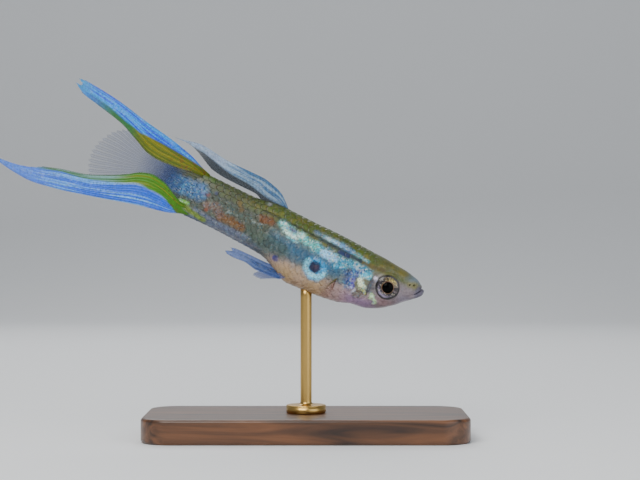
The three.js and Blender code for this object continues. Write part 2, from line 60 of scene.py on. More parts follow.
# The fish's pose in the row frame: nose down by PITCH, with the snout at (x, z)
MM = 0.001
PITCH = math.radians(22.8)
SNOUT_AT = (12.3, 15.55)
STANDARD_LENGTH = 27.0
SEED = 20
SIDES = ((-1, "right"), (1, "left"))

# Margin left round every unwrap
UV_EDGE = 0.01

# Large odd numbers that scatter the values of the noise's lattice
CORNER_PRIMES = (73856093, 19349663, 83492791)
SEED_PRIME = 2654435761
MIXING_PRIME = 1274126177
HASH_BITS = 0xFFFFFFFF
VALUE_BITS = 0xFFFF
LATTICE_SHIFT = 512.0

# A display's curve from level to light: straight below the knee and a power above it
FULL_LEVEL = 255.0
LEVEL_KNEE = 0.04045
LEVEL_SLOPE = 12.92
LEVEL_OFFSET = 0.055
LEVEL_POWER = 2.4


# Curves, noise and frames


def through(points: Sequence[tuple[float, float]]) -> Curve:
    """A smooth curve through points with no overshoot, as a monotone cubic.

    Args:
        points: (x, y) in rising x.
    Returns:
        A function of an array of x, straight beyond the ends.
    """
    xs, ys = (np.array(column, float) for column in zip(*points))
    slope = np.diff(ys) / np.diff(xs)
    inner = np.zeros(len(xs) - 2)
    same = slope[:-1] * slope[1:] > 0
    inner[same] = 2 * slope[:-1][same] * slope[1:][same] / (slope[:-1] + slope[1:])[same]
    tangent = np.concatenate([slope[:1], inner, slope[-1:]])

    def curve(x: Array) -> Array:
        x = np.asarray(x, float)
        i = np.clip(np.searchsorted(xs, x, side="right") - 1, 0, len(xs) - 2)
        step = xs[i + 1] - xs[i]
        t = (x - xs[i]) / step
        inside = np.clip(t, 0, 1)
        t2, t3 = inside**2, inside**3
        y = (
            (2 * t3 - 3 * t2 + 1) * ys[i]
            + (t3 - 2 * t2 + inside) * step * tangent[i]
            + (3 * t2 - 2 * t3) * ys[i + 1]
            + (t3 - t2) * step * tangent[i + 1]
        )
        return y + (t - inside) * step * np.where(t < 0, tangent[i], tangent[i + 1])

    return curve


def ramp(x: Array, low: float, high: float) -> Array:
    """0 below low, 1 above high and t^2 (3 - 2t) between; low may be above high."""
    t = np.clip((np.asarray(x, float) - low) / (high - low), 0, 1)
    return t * t * (3 - 2 * t)


def bell(x: Array, width: float) -> Array:
    """A bump exp(-(x / width)^2)."""
    return np.exp(-((np.asarray(x, float) / width) ** 2))


def lattice(points: Array, cell: float, seed: int) -> Array:
    """Smooth noise: random values at the corners of a lattice, blended across each cell by t^2 (3 - 2t).

    Args:
        points: (..., 3) places in millimetres.
        cell: the lattice's step in millimetres.
        seed: picks the pattern.
    Returns:
        Values from 0 to 1.
    """
    p = points / cell + LATTICE_SHIFT
    base = np.floor(p).astype(np.int64)
    t = p - base
    t = t * t * (3 - 2 * t)
    total = np.zeros(points.shape[:-1])
    first, second, third = CORNER_PRIMES
    for corner in range(8):
        bits = np.array([corner & 1, corner >> 1 & 1, corner >> 2 & 1])
        q = base + bits
        mixed = q[..., 0] * first ^ q[..., 1] * second ^ q[..., 2] * third ^ seed * SEED_PRIME
        mixed = (mixed ^ mixed >> 13) * MIXING_PRIME & HASH_BITS
        value = ((mixed ^ mixed >> 16) & VALUE_BITS) / VALUE_BITS
        weight = np.prod(np.where(bits == 1, t, 1 - t), axis=-1)
        total += weight * value
    return total


def to_row(places: Array) -> Array:
    """Turns the fish's places into the row frame: a turn by PITCH about Y, then a shift to the snout's place.

    x = snout x - s cos + h sin and z = snout z + s sin + h cos.

    Args:
        places: (..., 3) of (s, y, h), in millimetres.
    Returns:
        (..., 3) of (x, y, z), in metres.
    """
    s, y, h = places[..., 0], places[..., 1], places[..., 2]
    x = SNOUT_AT[0] - s * math.cos(PITCH) + h * math.sin(PITCH)
    z = SNOUT_AT[1] + s * math.sin(PITCH) + h * math.cos(PITCH)
    return np.stack([x, y, z], axis=-1) * MM


def colour(red: int, green: int, blue: int) -> Array:
    """A display colour as linear light."""
    c = np.array([red, green, blue]) / FULL_LEVEL
    curved = ((c + LEVEL_OFFSET) / (1 + LEVEL_OFFSET)) ** LEVEL_POWER
    return np.where(c <= LEVEL_KNEE, c / LEVEL_SLOPE, curved)


def blend(under: Array, over: Array, amount: Array) -> Array:
    """One colour with another laid over it: under + (over - under) amount."""
    return under + (over - under) * np.asarray(amount)[..., None]


def even(tint: Array, p: Array) -> Array:
    """One colour at every place."""
    return np.broadcast_to(tint, p.shape)


def unwrap(u: Array, v: Array) -> Array:
    """Places in the map from shares of its width and height, with a margin left round them."""
    return np.stack([UV_EDGE + 0.97 * u, UV_EDGE + 0.97 * v], axis=1)



# Meshes


@dataclass
class Surface:
    """Vertices with the values painted on them.

    Attributes:
        points: (n, 3) in the fish's frame, in millimetres.
        quads: (m, 4) corners of the faces, seen from outside anticlockwise.
        uv: (n, 2) places in the unwrap.
        painted: name to (n, 3) colours or (n,) values.
        triangles: (k, 3) corners of faces that close a pole.
    """

    points: Array
    quads: Array
    uv: Array
    painted: dict[str, Array] = field(default_factory=dict)
    triangles: Array = field(default_factory=lambda: np.zeros((0, 3), np.int64))

    def mesh(self, name: str, material: Material, in_fish: bool = True) -> bpy.types.Object:
        """Makes the object, smooth-shaded, with its unwrap in the map OFBake.

        Args:
            name: of the object and its mesh.
            material: for all its faces.
            in_fish: whether the points are in the fish's frame, and not in the row frame.
        Returns:
            The object, at the origin and riding the body.
        """
        data = bpy.data.meshes.new(name)
        co = to_row(self.points) if in_fish else self.points * MM
        data.vertices.add(len(co))
        data.vertices.foreach_set("co", co.astype(np.float32).ravel())
        loops = np.concatenate([self.quads.ravel(), self.triangles.ravel()]).astype(np.int32)
        sizes = np.concatenate([np.full(len(self.quads), 4), np.full(len(self.triangles), 3)])
        starts = np.concatenate([[0], np.cumsum(sizes)[:-1]]).astype(np.int32)
        data.loops.add(len(loops))
        data.loops.foreach_set("vertex_index", loops)
        data.polygons.add(len(sizes))
        data.polygons.foreach_set("loop_start", starts)
        data.polygons.foreach_set("use_smooth", np.ones(len(sizes), bool))
        unwrap = data.uv_layers.new(name="OFBake")
        unwrap.data.foreach_set("uv", self.uv[loops].astype(np.float32).ravel())
        for key, value in self.painted.items():
            if value.ndim == 2:
                layer = data.attributes.new(key, "FLOAT_COLOR", "POINT")
                rgba = np.concatenate([value, np.ones((len(value), 1))], axis=1)
                layer.data.foreach_set("color", rgba.astype(np.float32).ravel())
            else:
                layer = data.attributes.new(key, "FLOAT", "POINT")
                layer.data.foreach_set("value", value.astype(np.float32))
        data.update(calc_edges=True)
        data.validate()
        data.materials.append(material)
        obj = bpy.data.objects.new(name, data)
        bpy.context.scene.collection.objects.link(obj)
        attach(obj, "root")
        log.info("%s: %d vertices", name, len(co))
        return obj


def tube_quads(rings: int, around: int) -> Array:
    """Faces of a grid of rings that is closed around, ring after ring."""
    i, j = np.meshgrid(np.arange(rings - 1), np.arange(around), indexing="ij")
    a, b = i * around + j, i * around + (j + 1) % around
    return np.stack([a, a + around, b + around, b], axis=-1).reshape(-1, 4)


def capped(rings: Array, flip: bool = False) -> tuple[Array, Array, Array]:
    """Closes a tube of rings with a fan over each end.

    Args:
        rings: (n, m, 3) places.
        flip: whether the faces are turned round.
    Returns:
        The places with a middle for each end, the quads and the triangles.
    """
    n, m, _ = rings.shape
    points = np.concatenate([rings.reshape(-1, 3), rings[:1].mean(1), rings[-1:].mean(1)])
    j = np.arange(m)
    after = (j + 1) % m
    first = np.stack([np.full(m, n * m), j, after], axis=1)
    last = np.stack([np.full(m, n * m + 1), (n - 1) * m + after, (n - 1) * m + j], axis=1)
    quads, triangles = tube_quads(n, m), np.concatenate([first, last])
    if flip:
        quads, triangles = quads[:, ::-1], triangles[:, ::-1]
    return points, quads, triangles


def slab_quads(us: int, vs: int) -> Array:
    """Faces of a thin closed slab: two grids of us by vs points, the second after the first, and the rim."""
    i, j = np.meshgrid(np.arange(us - 1), np.arange(vs - 1), indexing="ij")
    a, b, c, d = i * vs + j, (i + 1) * vs + j, (i + 1) * vs + j + 1, i * vs + j + 1
    back = us * vs
    under = np.stack([a, d, c, b], axis=-1).reshape(-1, 4)
    over = np.stack([a, b, c, d], axis=-1).reshape(-1, 4) + back
    rim = np.concatenate([
        np.arange(us - 1) * vs,
        (us - 1) * vs + np.arange(vs - 1),
        np.arange(us - 1, 0, -1) * vs + vs - 1,
        np.arange(vs - 1, 0, -1),
    ])
    following = np.roll(rim, -1)
    side = np.stack([rim, following, following + back, rim + back], axis=1)
    return np.concatenate([under, over, side])


# The body's surface


@dataclass(frozen=True)
class EyeShape:
    """The eye's place and sizes, which follow the solids.

    Attributes:
        s, h: the middle of the eye.
        radius: of the ball, seen from the side.
        depth: how far the ball reaches into the head.
        bulge: how far its front stands out.
        turn: how far it looks ahead, in radians.
        sink: how deep its rim is let in.
    """

    s: float = 3.6
    h: float = -1.17
    radius: float = 1.27
    depth: float = 0.95
    bulge: float = 0.3
    turn: float = 0.1
    sink: float = 0.12


@dataclass(frozen=True)
class Ridge:
    """A raised line of the head, or a sunken one with a minus sign: height exp(-((x - at) / wide)^2)."""

    height: float
    at: float
    wide: float

    def over(self, x: Array) -> Array:
        """Its height at the distance x."""
        return self.height * bell(x - self.at, self.wide)


EYE = EyeShape()
FRONT_NOSTRIL = (1.05, 0.12)
REAR_NOSTRIL = (1.5, -0.03)


@dataclass(frozen=True)
class HeadForms:
    """What stands out of the smooth head or sinks into it. Pairs are where a form sets in and is full.

    Attributes:
        mouth_height, mouth_droop: the mouth line is h = height - droop y^2.
        lips_run, mouth_end, chin_end: how the lips fade along s, and the lines across y.
        nostrils: (s, h, radius) of each.
        cover_rise, cover_step, cover_fall: rise to the gill cover's edge, and the step behind it.
        gill_edge, cheek_edge: s of the gill cover's rear edge and of the cheek's crease, by height.
        folds: (cell, height, seed) of the skin's fine unevenness.
    """

    mouth_height: float = 0.12
    mouth_droop: float = 0.78
    mouth_half: float = 1.15
    mouth_end: Span = (1.12, 0.98)
    lips_run: Span = (1.2, 0.85)
    lower_lip: float = 0.34
    lower_lip_top: Span = (0.03, -0.22)
    lower_lip_foot: Span = (-1.12, -0.5)
    upper_lip: Ridge = Ridge(0.1, 0.2, 0.13)
    mouth_line: Ridge = Ridge(-0.2, 0.0, 0.05)
    chin: Ridge = Ridge(-0.05, -1.2, 0.09)
    chin_end: Span = (1.1, 0.6)
    nostrils: tuple = ((*FRONT_NOSTRIL, 0.12), (*REAR_NOSTRIL, 0.1))
    nostril_depth: float = 0.16
    nostril_wall: Span = (1.15, 0.5)
    nostril_rim: Ridge = Ridge(0.035, 0.0, 0.06)
    nostril_rim_share: float = 1.5
    nostril_side: Span = (0.35, 0.6)
    socket_depth: float = 0.85
    socket_wall: Span = (0.06, -0.3)
    lid: Ridge = Ridge(0.075, 0.13, 0.1)
    lid_groove: Ridge = Ridge(-0.03, 0.42, 0.12)
    orbit_side: Span = (0.5, 0.8)
    gill_edge: Curve = through([
        (-5.6, 6.2), (-3.9, 6.4), (-3.1, 6.85), (-2.3, 7.6), (-1.1, 8.0), (0.1, 7.75), (1.2, 7.2),
        (3.2, 7.0),
    ])
    cover_foot: Span = (-4.3, -3.7)
    cover_top: Span = (0.75, 0.1)
    cover_rise: float = 0.07
    cover_rise_run: Span = (-1.5, -0.1)
    cover_step: float = 0.1
    cover_fall: float = 0.3
    cheek_edge: Curve = through([(-3.75, 6.1), (-3.2, 5.45), (-2.0, 5.2), (-0.6, 5.3), (0.3, 5.55)])
    cheek_span: Span = (-3.75, 0.3)
    cheek_foot: Span = (-3.9, -3.5)
    cheek_top: Span = (0.5, 0.1)
    crease: Ridge = Ridge(-0.05, 0.0, 0.09)
    folds: tuple = ((0.9, 0.02, 3), (0.3, 0.012, 4))
    folds_end: Span = (9.0, 6.0)

    def over_mouth(self, p: Array) -> Array:
        """Height over the mouth line h = height - droop y^2."""
        return p[..., 2] - self.mouth_height + self.mouth_droop * p[..., 1] ** 2

    def lips(self, p: Array) -> Array:
        """Both lips, the line between them and the groove under the lower one."""
        s, a = p[..., 0], np.abs(p[..., 1])
        seam = self.over_mouth(p)
        fade = np.sqrt(np.maximum(0, np.cos(np.clip(a / self.mouth_half, 0, 1) * math.pi / 2)))
        lower = self.lower_lip * fade * ramp(seam, *self.lower_lip_top) * ramp(seam, *self.lower_lip_foot)
        upper = fade * self.upper_lip.over(seam)
        line = ramp(a, *self.mouth_end) * self.mouth_line.over(seam)
        chin = ramp(a, *self.chin_end) * self.chin.over(seam)
        return ramp(s, *self.lips_run) * (lower + upper + line + chin)

    def nostril(self, p: Array, at_s: float, at_h: float, radius: float) -> Array:
        """One nostril's pit and the low rim round it, on both sides."""
        r = np.hypot(p[..., 0] - at_s, p[..., 2] - at_h)
        pit = self.nostril_depth * ramp(r, radius * self.nostril_wall[0], radius * self.nostril_wall[1])
        rim = self.nostril_rim.over(r - radius * self.nostril_rim_share)
        return ramp(np.abs(p[..., 1]), *self.nostril_side) * (rim - pit)

    def orbit(self, p: Array) -> Array:
        """The socket of the eye, with the skin's raised rim and the groove outside it."""
        off = np.hypot(p[..., 0] - EYE.s, p[..., 2] - EYE.h) - EYE.radius
        socket = -self.socket_depth * ramp(off, *self.socket_wall)
        lid = self.lid.over(off) + self.lid_groove.over(off)
        return ramp(np.abs(p[..., 1]), *self.orbit_side) * (socket + lid)

    def gill_cover(self, p: Array) -> Array:
        """The gill cover's raised edge, the step behind it and the crease along the cheek."""
        s, h = p[..., 0], p[..., 2]
        behind = s - self.gill_edge(h)
        raised = self.cover_rise * ramp(behind, *self.cover_rise_run)
        step = -self.cover_step * np.exp(-np.maximum(behind, 0) / self.cover_fall)
        cover = ramp(h, *self.cover_foot) * ramp(h, *self.cover_top) * np.where(behind < 0, raised, step)
        along = s - self.cheek_edge(np.clip(h, *self.cheek_span))
        return cover + ramp(h, *self.cheek_foot) * ramp(h, *self.cheek_top) * self.crease.over(along)

    def relief(self, p: Array) -> Array:
        """Height of all the forms over the smooth surface, in millimetres."""
        out = self.lips(p) + self.orbit(p) + self.gill_cover(p)
        for at_s, at_h, radius in self.nostrils:
            out = out + self.nostril(p, at_s, at_h, radius)
        fold = sum(height * (lattice(p, cell, seed) - 0.5) for cell, height, seed in self.folds)
        return out + fold * ramp(p[..., 0], *self.folds_end)


HEAD = HeadForms()


@dataclass(frozen=True)
class Body:
    """The whole body as rounded sections across s, from the lips to the root of the tail fin.

    Attributes:
        back, belly, wide: heights of the upper outline, the lower outline and the widest line, along s.
        half: half the width along s.
        crown_power, flank_power: of the sections over and under the widest line; 2 is an ellipse.
        crown_run: where the crown's power turns into the flank's.
        nose, nose_rounding: where the snout starts, and how long it takes to open.
        close_from, close_run: where the stalk starts to close, and how long it takes.
        stalk_bulge, bulge_from, bulge_half: how far the root of the tail fin bulges back.
        bare_inset, scaled_inset, scaled_run: how deep the skin lies, where it is bare and under scales.
        slope_step: the step by which slopes are measured.
    """

    back: Curve = through([
        (0.1, 0.66), (0.9, 0.82), (2.2, 1.18), (3.5, 1.36), (5.1, 1.6), (6.3, 1.72), (8.2, 1.9),
        (10.5, 2.1), (13.6, 2.24), (15.3, 2.38), (17.2, 2.48), (20, 2.26), (23.5, 2.42), (27, 2.62),
    ])
    belly: Curve = through([
        (0.1, -1.25), (0.9, -1.6), (2.2, -2.68), (3.5, -3.56), (5.1, -4.16), (6.3, -4.3), (8.2, -4.76),
        (10.5, -4.92), (13.6, -4.93), (15.3, -4.1), (17.2, -3.27), (20, -2.93), (23.5, -2.62),
        (27, -2.5),
    ])
    half: Curve = through([
        (0.1, 1.12), (0.9, 1.3), (2.2, 1.62), (3.5, 1.9), (5.1, 2.1), (6.3, 2.2), (8.2, 2.26),
        (10.5, 2.24), (13.6, 2.02), (15.3, 1.82), (17.2, 1.6), (20, 1.27), (23.5, 0.9), (27, 0.36),
    ])
    wide: Curve = through([
        (0.1, -0.3), (0.9, -0.45), (2.2, -0.8), (3.5, -1.05), (5.1, -1.25), (6.3, -1.35), (8.2, -1.4),
        (10.5, -1.4), (13.6, -1.15), (15.3, -0.9), (17.2, -0.55), (20, -0.3), (23.5, -0.1), (27, 0.05),
    ])
    crown_power: float = 2.7
    flank_power: float = 2.15
    crown_run: Span = (4.0, 10.0)
    nose: float = 0.1
    nose_rounding: float = 0.95
    close_from: float = 23.8
    close_run: float = 3.22
    stalk_bulge: float = 0.55
    bulge_from: float = 23.0
    bulge_half: float = 2.7
    bare_inset: float = 0.012
    scaled_inset: float = 0.1
    scaled_run: Span = (4.6, 8.0)
    slope_step: float = 2e-3

    def crown(self, s: Array) -> Array:
        """The power of the sections over the widest line."""
        return self.crown_power + (self.flank_power - self.crown_power) * ramp(s, *self.crown_run)

    def plain(self, s: Array, turn: Array) -> Array:
        """The smooth surface, as a superellipse at each s that opens and closes in a quarter ellipse.

        y = half |cos|^(2/n) and h = wide + reach |sin|^(2/n), where n is the section's power.

        Args:
            s: places along the body.
            turn: angles from the left side (0) over the back.
        Returns:
            (..., 3) places.
        """
        s, turn = np.broadcast_arrays(np.asarray(s, float), np.asarray(turn, float))
        opening = np.clip((s - self.nose) / self.nose_rounding, 0, 1)
        snout = np.sqrt(np.maximum(0, 1 - (1 - opening) ** 2))
        closing = np.clip((s - self.close_from) / self.close_run, 0, 1)
        tail = np.sqrt(np.maximum(0.0, 1 - closing**2))
        c, n = np.cos(turn), np.sin(turn)
        power = 2 / np.where(n > 0, self.crown(s), self.flank_power)
        wide = self.wide(s)
        reach = np.where(n > 0, self.back(s) - wide, wide - self.belly(s))
        y = snout * self.half(s) * np.sign(c) * np.abs(c) ** power * tail
        h = wide + snout * reach * np.sign(n) * np.abs(n) ** power
        bulge = self.stalk_bulge * (1 - (h / self.bulge_half) ** 2)
        return np.stack([s + bulge * ramp(s, self.bulge_from, STANDARD_LENGTH), y, h], axis=-1)

    def half_width(self, s: float, h: float) -> float:
        """Half the body's width: half (1 - share^n)^(1/n), where share is the way to the outline."""
        wide = float(self.wide(s))
        if h > wide:
            reach, power = float(self.back(s)) - wide, float(self.crown(s))
        else:
            reach, power = wide - float(self.belly(s)), self.flank_power
        share = min(1.0, abs(h - wide) / reach)
        return float(self.half(s)) * (1 - share**power) ** (1 / power)

    def normal(self, s: Array, turn: Array) -> Array:
        """Outward normals of the smooth surface, as the cross product of its slopes along and around."""
        e = self.slope_step
        along = self.plain(s + e, turn) - self.plain(s - e, turn)
        around = self.plain(s, turn + e) - self.plain(s, turn - e)
        out = np.cross(along, around)
        length = np.linalg.norm(out, axis=-1, keepdims=True)
        forward = np.array([-1.0, 0.0, 0.0])
        out = np.where(length > 1e-9, out / np.maximum(length, 1e-12), forward)
        middle = np.stack(np.broadcast_arrays(np.asarray(s) + 1.0, 0.0, self.wide(s)), axis=-1)
        side = np.einsum("...i,...i->...", out, self.plain(s, turn) - middle)
        return np.where(side[..., None] < 0, -out, out)

    def skin(self, s: Array, turn: Array) -> Array:
        """The skin: the smooth surface with the head's forms, let in by the depth of the scales."""
        p = self.plain(s, turn)
        deep = self.bare_inset + (self.scaled_inset - self.bare_inset) * ramp(s, *self.scaled_run)
        return p + self.normal(s, turn) * (HEAD.relief(p) - deep)[..., None]


BODY = Body()


# Markings


# The studio's light pales and greys what it lights, so paints are drawn away from grey and darkened
LUMA = np.array([0.2126, 0.7152, 0.0722])
PAINT_SATURATION = 1.5
PAINT_POWER = 1.2
PAINT_SHARE = 0.95
DARKEST = 0.002
PALEST = 0.95


def paint(red: int, green: int, blue: int) -> Array:
    """The paint that shows as this display colour in the studio's light.

    With grey as its brightness, it is share (grey + (c - grey) saturation)^power.

    Args:
        red, green, blue: the colour as it should be seen, 0 to 255.
    Returns:
        Linear light.
    """
    c = colour(red, green, blue)
    grey = float(c @ LUMA)
    c = np.maximum(grey + (c - grey) * PAINT_SATURATION, DARKEST)
    return np.minimum(c**PAINT_POWER * PAINT_SHARE, PALEST)


@dataclass(frozen=True)
class Mark:
    """A marking on the body, drawn along a line on its side.

    Attributes:
        line: [(s, h), ...] along its middle.
        width: half its width in millimetres.
        tint: its colour.
        amount: how far it covers what lies under it.
        soft: width of its edge.
        glitter: how much it glitters.
        ragged: how far noise moves its edge.
    """

    line: tuple
    width: float
    tint: Array
    amount: float = 1.0
    soft: float = 0.3
    glitter: float = 0.0
    ragged: float = 0.25

    def mask(self, p: Array, noise: Array) -> Array:
        """Its strength at each place, from the distance to its line."""
        s, h = p[..., 0], p[..., 2]
        line = np.array(self.line, float)
        if len(line) == 1:
            away = np.hypot(s - line[0, 0], h - line[0, 1])
        else:
            away = np.full(s.shape, 1e9)
            for a, b in zip(line[:-1], line[1:]):
                d = b - a
                t = np.clip(((s - a[0]) * d[0] + (h - a[1]) * d[1]) / (d @ d), 0, 1)
                away = np.minimum(away, np.hypot(s - a[0] - t * d[0], h - a[1] - t * d[1]))
        away = away + self.ragged * (noise - 0.5) * 2
        return self.amount * ramp(away, self.width + self.soft / 2, self.width - self.soft / 2)


FLANK_MARKS = (
    # Steel-blue flank, green and tan behind it
    Mark(((9.4, -1.5), (12.5, -1.5), (16.2, -1.3)), 1.0, paint(68, 104, 130), 0.9, 2.0, 0.12, 0.6),
    Mark(((15.4, -1.9), (19.2, -1.6)), 0.9, paint(78, 90, 82), 0.75, 1.0, 0.08, 0.5),
    # Glittering band under the dark stripe
    Mark(((6.0, -0.6), (7.2, -0.45), (8.6, -0.5), (10.4, -0.4), (12, -0.15)), 0.5, paint(96, 150, 170),
         0.95,
         0.5, 0.85, 0.35),
    Mark(((12, -0.1), (13.8, 0.15), (16.3, 0.68)), 0.4, paint(132, 190, 186), 0.95, 0.45, 1.0, 0.3),
    Mark(((10, -0.45), (11, -0.4)), 0.46, paint(182, 214, 238), 0.9, 0.4, 1.0, 0.3),
    Mark(((16, 0.75), (15.7, 0.1), (14.6, -0.1), (13.8, 0.4)), 0.2, paint(222, 244, 236),
         0.9, 0.3, 1.0, 0.25),
    Mark(((14.7, 0.5), (15.5, 0.62)), 0.2, paint(118, 110, 140), 0.85, 0.25, 0.2, 0.15),
    Mark(((14.2, -0.45), (15.4, -0.35)), 0.1, paint(104, 190, 204), 0.8, 0.2, 0.8, 0.15),
    Mark(((8.8, -1.0), (9.6, -1.2)), 0.2, paint(88, 176, 204), 0.8, 0.3, 0.9, 0.2),
    # Lilac and pale blue band over the stripe
    Mark(((6.5, 0.55), (7.4, 0.68), (8.4, 0.85)), 0.17, paint(108, 158, 164), 0.9, 0.3, 0.8, 0.15),
    Mark(((8.4, 0.85), (9.4, 1.02), (10.4, 1.12)), 0.24, paint(130, 160, 192), 0.95, 0.3, 0.8, 0.15),
    Mark(((10.4, 1.1), (11.6, 1.2)), 0.16, paint(184, 214, 232), 0.95, 0.3, 1.0, 0.14),
    Mark(((11.6, 1.2), (12.8, 1.3)), 0.14, paint(104, 124, 146), 0.8, 0.3, 0.4, 0.16),
    # Dark stripe, brown in front and thin behind
    Mark(((4.7, 0.3), (6.0, 0.22), (7.2, 0.28)), 0.22, paint(92, 78, 48), 0.7, 0.35, 0.0, 0.15),
    Mark(((7.2, 0.28), (8.4, 0.42), (10, 0.62), (12.2, 0.78)), 0.17, paint(42, 60, 70),
         0.95, 0.2, 0.0, 0.1),
    Mark(((8.6, 0.25), (9.7, 0.3)), 0.2, paint(22, 46, 88), 0.95, 0.2, 0.0, 0.1),
    Mark(((12.2, 0.8), (14.2, 1.02), (16.2, 1.12), (18.6, 1.25)), 0.1, paint(42, 52, 38),
         0.9, 0.18, 0.0, 0.08),
)

STALK_MARKS = (
    # Orange spots and the pale dots between them
    Mark(((17.5, 0.5), (18.5, 0.4)), 0.42, paint(112, 78, 50), 0.9, 0.35, 0.08, 0.32),
    Mark(((20.2, -1.35), (21.4, -1.2), (22.6, -1.2)), 0.42, paint(118, 88, 54), 0.9, 0.45, 0.12, 0.38),
    Mark(((22.8, -0.9), (23.6, -0.4), (24.4, -0.6)), 0.42, paint(130, 112, 106), 0.8, 0.5, 0.3, 0.38),
    Mark(((24.8, 0.5), (25.1, 0.5)), 0.22, paint(134, 84, 54), 0.95, 0.25, 0.0, 0.12),
    Mark(((24.35, -1.05),), 0.18, paint(140, 84, 44), 0.9, 0.2, 0.0, 0.08),
    Mark(((24.0, 1.0),), 0.2, paint(60, 64, 96), 0.8, 0.25, 0.0, 0.1),
    Mark(((20.8, 0.4), (21.4, 1.1)), 0.22, paint(112, 92, 56), 0.6, 0.4, 0.0, 0.2),
    Mark(((16.8, 0.0), (18.6, -0.25), (20.0, -0.3), (22.2, -0.35)), 0.03, paint(160, 166, 160),
         0.5, 0.12, 0.4, 0.3),
    Mark(((17.5, -2.75), (20, -2.62), (23.8, -2.45)), 0.1, paint(136, 136, 142), 0.7, 0.2, 0.2, 0.1),
    Mark(((19, -2.1), (22, -2.0), (25.5, -1.45)), 0.2, paint(118, 122, 140), 0.7, 0.4, 0.3, 0.2),
    Mark(((18.35, 2.15),), 0.2, paint(150, 146, 150), 0.7, 0.2, 0.2, 0.1),
    # Root of the tail fin
    Mark(((25.8, 0.45), (28.5, 0.3)), 0.95, paint(84, 114, 152), 0.9, 0.7, 0.3, 0.35),
    Mark(((24.2, -2.15), (25.6, -1.9), (27.2, -1.45)), 0.26, paint(126, 140, 24), 0.95, 0.22, 0.05, 0.12),
    Mark(((26.4, -1.15), (27.4, -1.15)), 0.14, paint(150, 190, 120), 0.85, 0.2, 0.6, 0.12),
    Mark(((24.6, 2.2), (25.8, 2.35), (27.6, 2.65)), 0.3, paint(80, 98, 14), 0.95, 0.25, 0.05, 0.14),
)

SPOT_MARKS = (
    # Eye spot of the flank and the violet spot by the vent
    Mark(((11.3, -2.35),), 1.2, paint(88, 160, 202), 0.95, 0.45, 0.35, 0.2),
    Mark(((12.35, -1.8), (12.3, -2.6), (11.6, -3.1), (10.7, -3.05), (10.3, -2.5)), 0.24, paint(176, 228, 246),
         0.95, 0.35, 0.7, 0.15),
    Mark(((11.45, -2.15),), 0.64, paint(20, 36, 70), 1.0, 0.16, 0.0, 0.06),
    Mark(((11.35, -2.1),), 0.26, paint(84, 70, 84), 0.7, 0.3, 0.0, 0.06),
    Mark(((15.65, -2.95),), 0.33, paint(62, 62, 118), 0.9, 0.18, 0.0, 0.08),
)

HEAD_MARKS = (
    # Violet shade with bright patches at the gill cover's rear edge
    Mark(((6.9, -1.0), (7.7, -1.4), (7.6, -2.4)), 0.55, paint(74, 92, 146), 0.85, 0.8, 0.4, 0.5),
    Mark(((7.3, -1.7), (7.0, -2.5)), 0.2, paint(92, 84, 160), 0.8, 0.3, 0.3, 0.25),
    Mark(((6.6, -1.1), (6.2, -0.8), (5.7, -1.0)), 0.22, paint(150, 210, 226), 0.8, 0.35, 0.9, 0.3),
    Mark(((8.0, -0.95),), 0.25, paint(96, 88, 76), 0.6, 0.3, 0.0, 0.15),
    Mark(((7.15, -2.65),), 0.16, paint(196, 192, 228), 0.9, 0.15, 1.0, 0.1),
    # Large pale patch of the gill cover, and the tan one under it
    Mark(((6.5, -1.6), (5.95, -2.15)), 0.4, paint(246, 255, 226), 1.0, 0.35, 0.9, 0.5),
    Mark(((5.8, -2.6), (6.4, -3.0)), 0.45, paint(104, 96, 84), 0.8, 0.6, 0.3, 0.45),
    # Behind and under the eye
    Mark(((5.15, -0.75), (5.0, -0.95)), 0.2, paint(216, 212, 224), 0.95, 0.18, 0.7, 0.1),
    Mark(((5.3, -1.3), (5.35, -2.2)), 0.32, paint(84, 82, 94), 0.9, 0.5, 0.15, 0.3),
    Mark(((4.75, -2.65), (4.3, -3.0)), 0.26, paint(220, 242, 208), 0.9, 0.35, 0.9, 0.4),
    # Fine bright lines of the gill cover, and painted shade along the crease ahead of them
    Mark(((5.9, -2.4), (5.5, -2.7)), 0.1, paint(200, 204, 150), 0.8, 0.2, 0.7, 0.2),
    Mark(((6.7, -2.7), (6.9, -3.1)), 0.08, paint(206, 206, 214), 0.8, 0.15, 0.7, 0.16),
    Mark(((5.5, -1.0), (5.55, -2.0), (5.3, -2.9)), 0.07, paint(52, 50, 58), 0.7, 0.14, 0.0, 0.08),
    # Pale rings of the nostrils, and painted shade in their pits
    Mark((FRONT_NOSTRIL,), 0.4, paint(138, 134, 104), 0.75, 0.5, 0.0, 0.1),
    Mark(((1.55, -0.03),), 0.32, paint(140, 136, 112), 0.6, 0.4, 0.0, 0.1),
    Mark((FRONT_NOSTRIL,), 0.09, paint(36, 32, 26), 0.95, 0.08, 0.0, 0.0),
    Mark((REAR_NOSTRIL,), 0.08, paint(52, 46, 36), 0.9, 0.08, 0.0, 0.0),
)


OLIVE = paint(96, 106, 66)
OLIVE_DARK = paint(74, 84, 40)
KHAKI = paint(118, 110, 66)
BROWN = paint(88, 76, 54)
PINK = paint(180, 162, 160)
PEACH = paint(178, 160, 132)


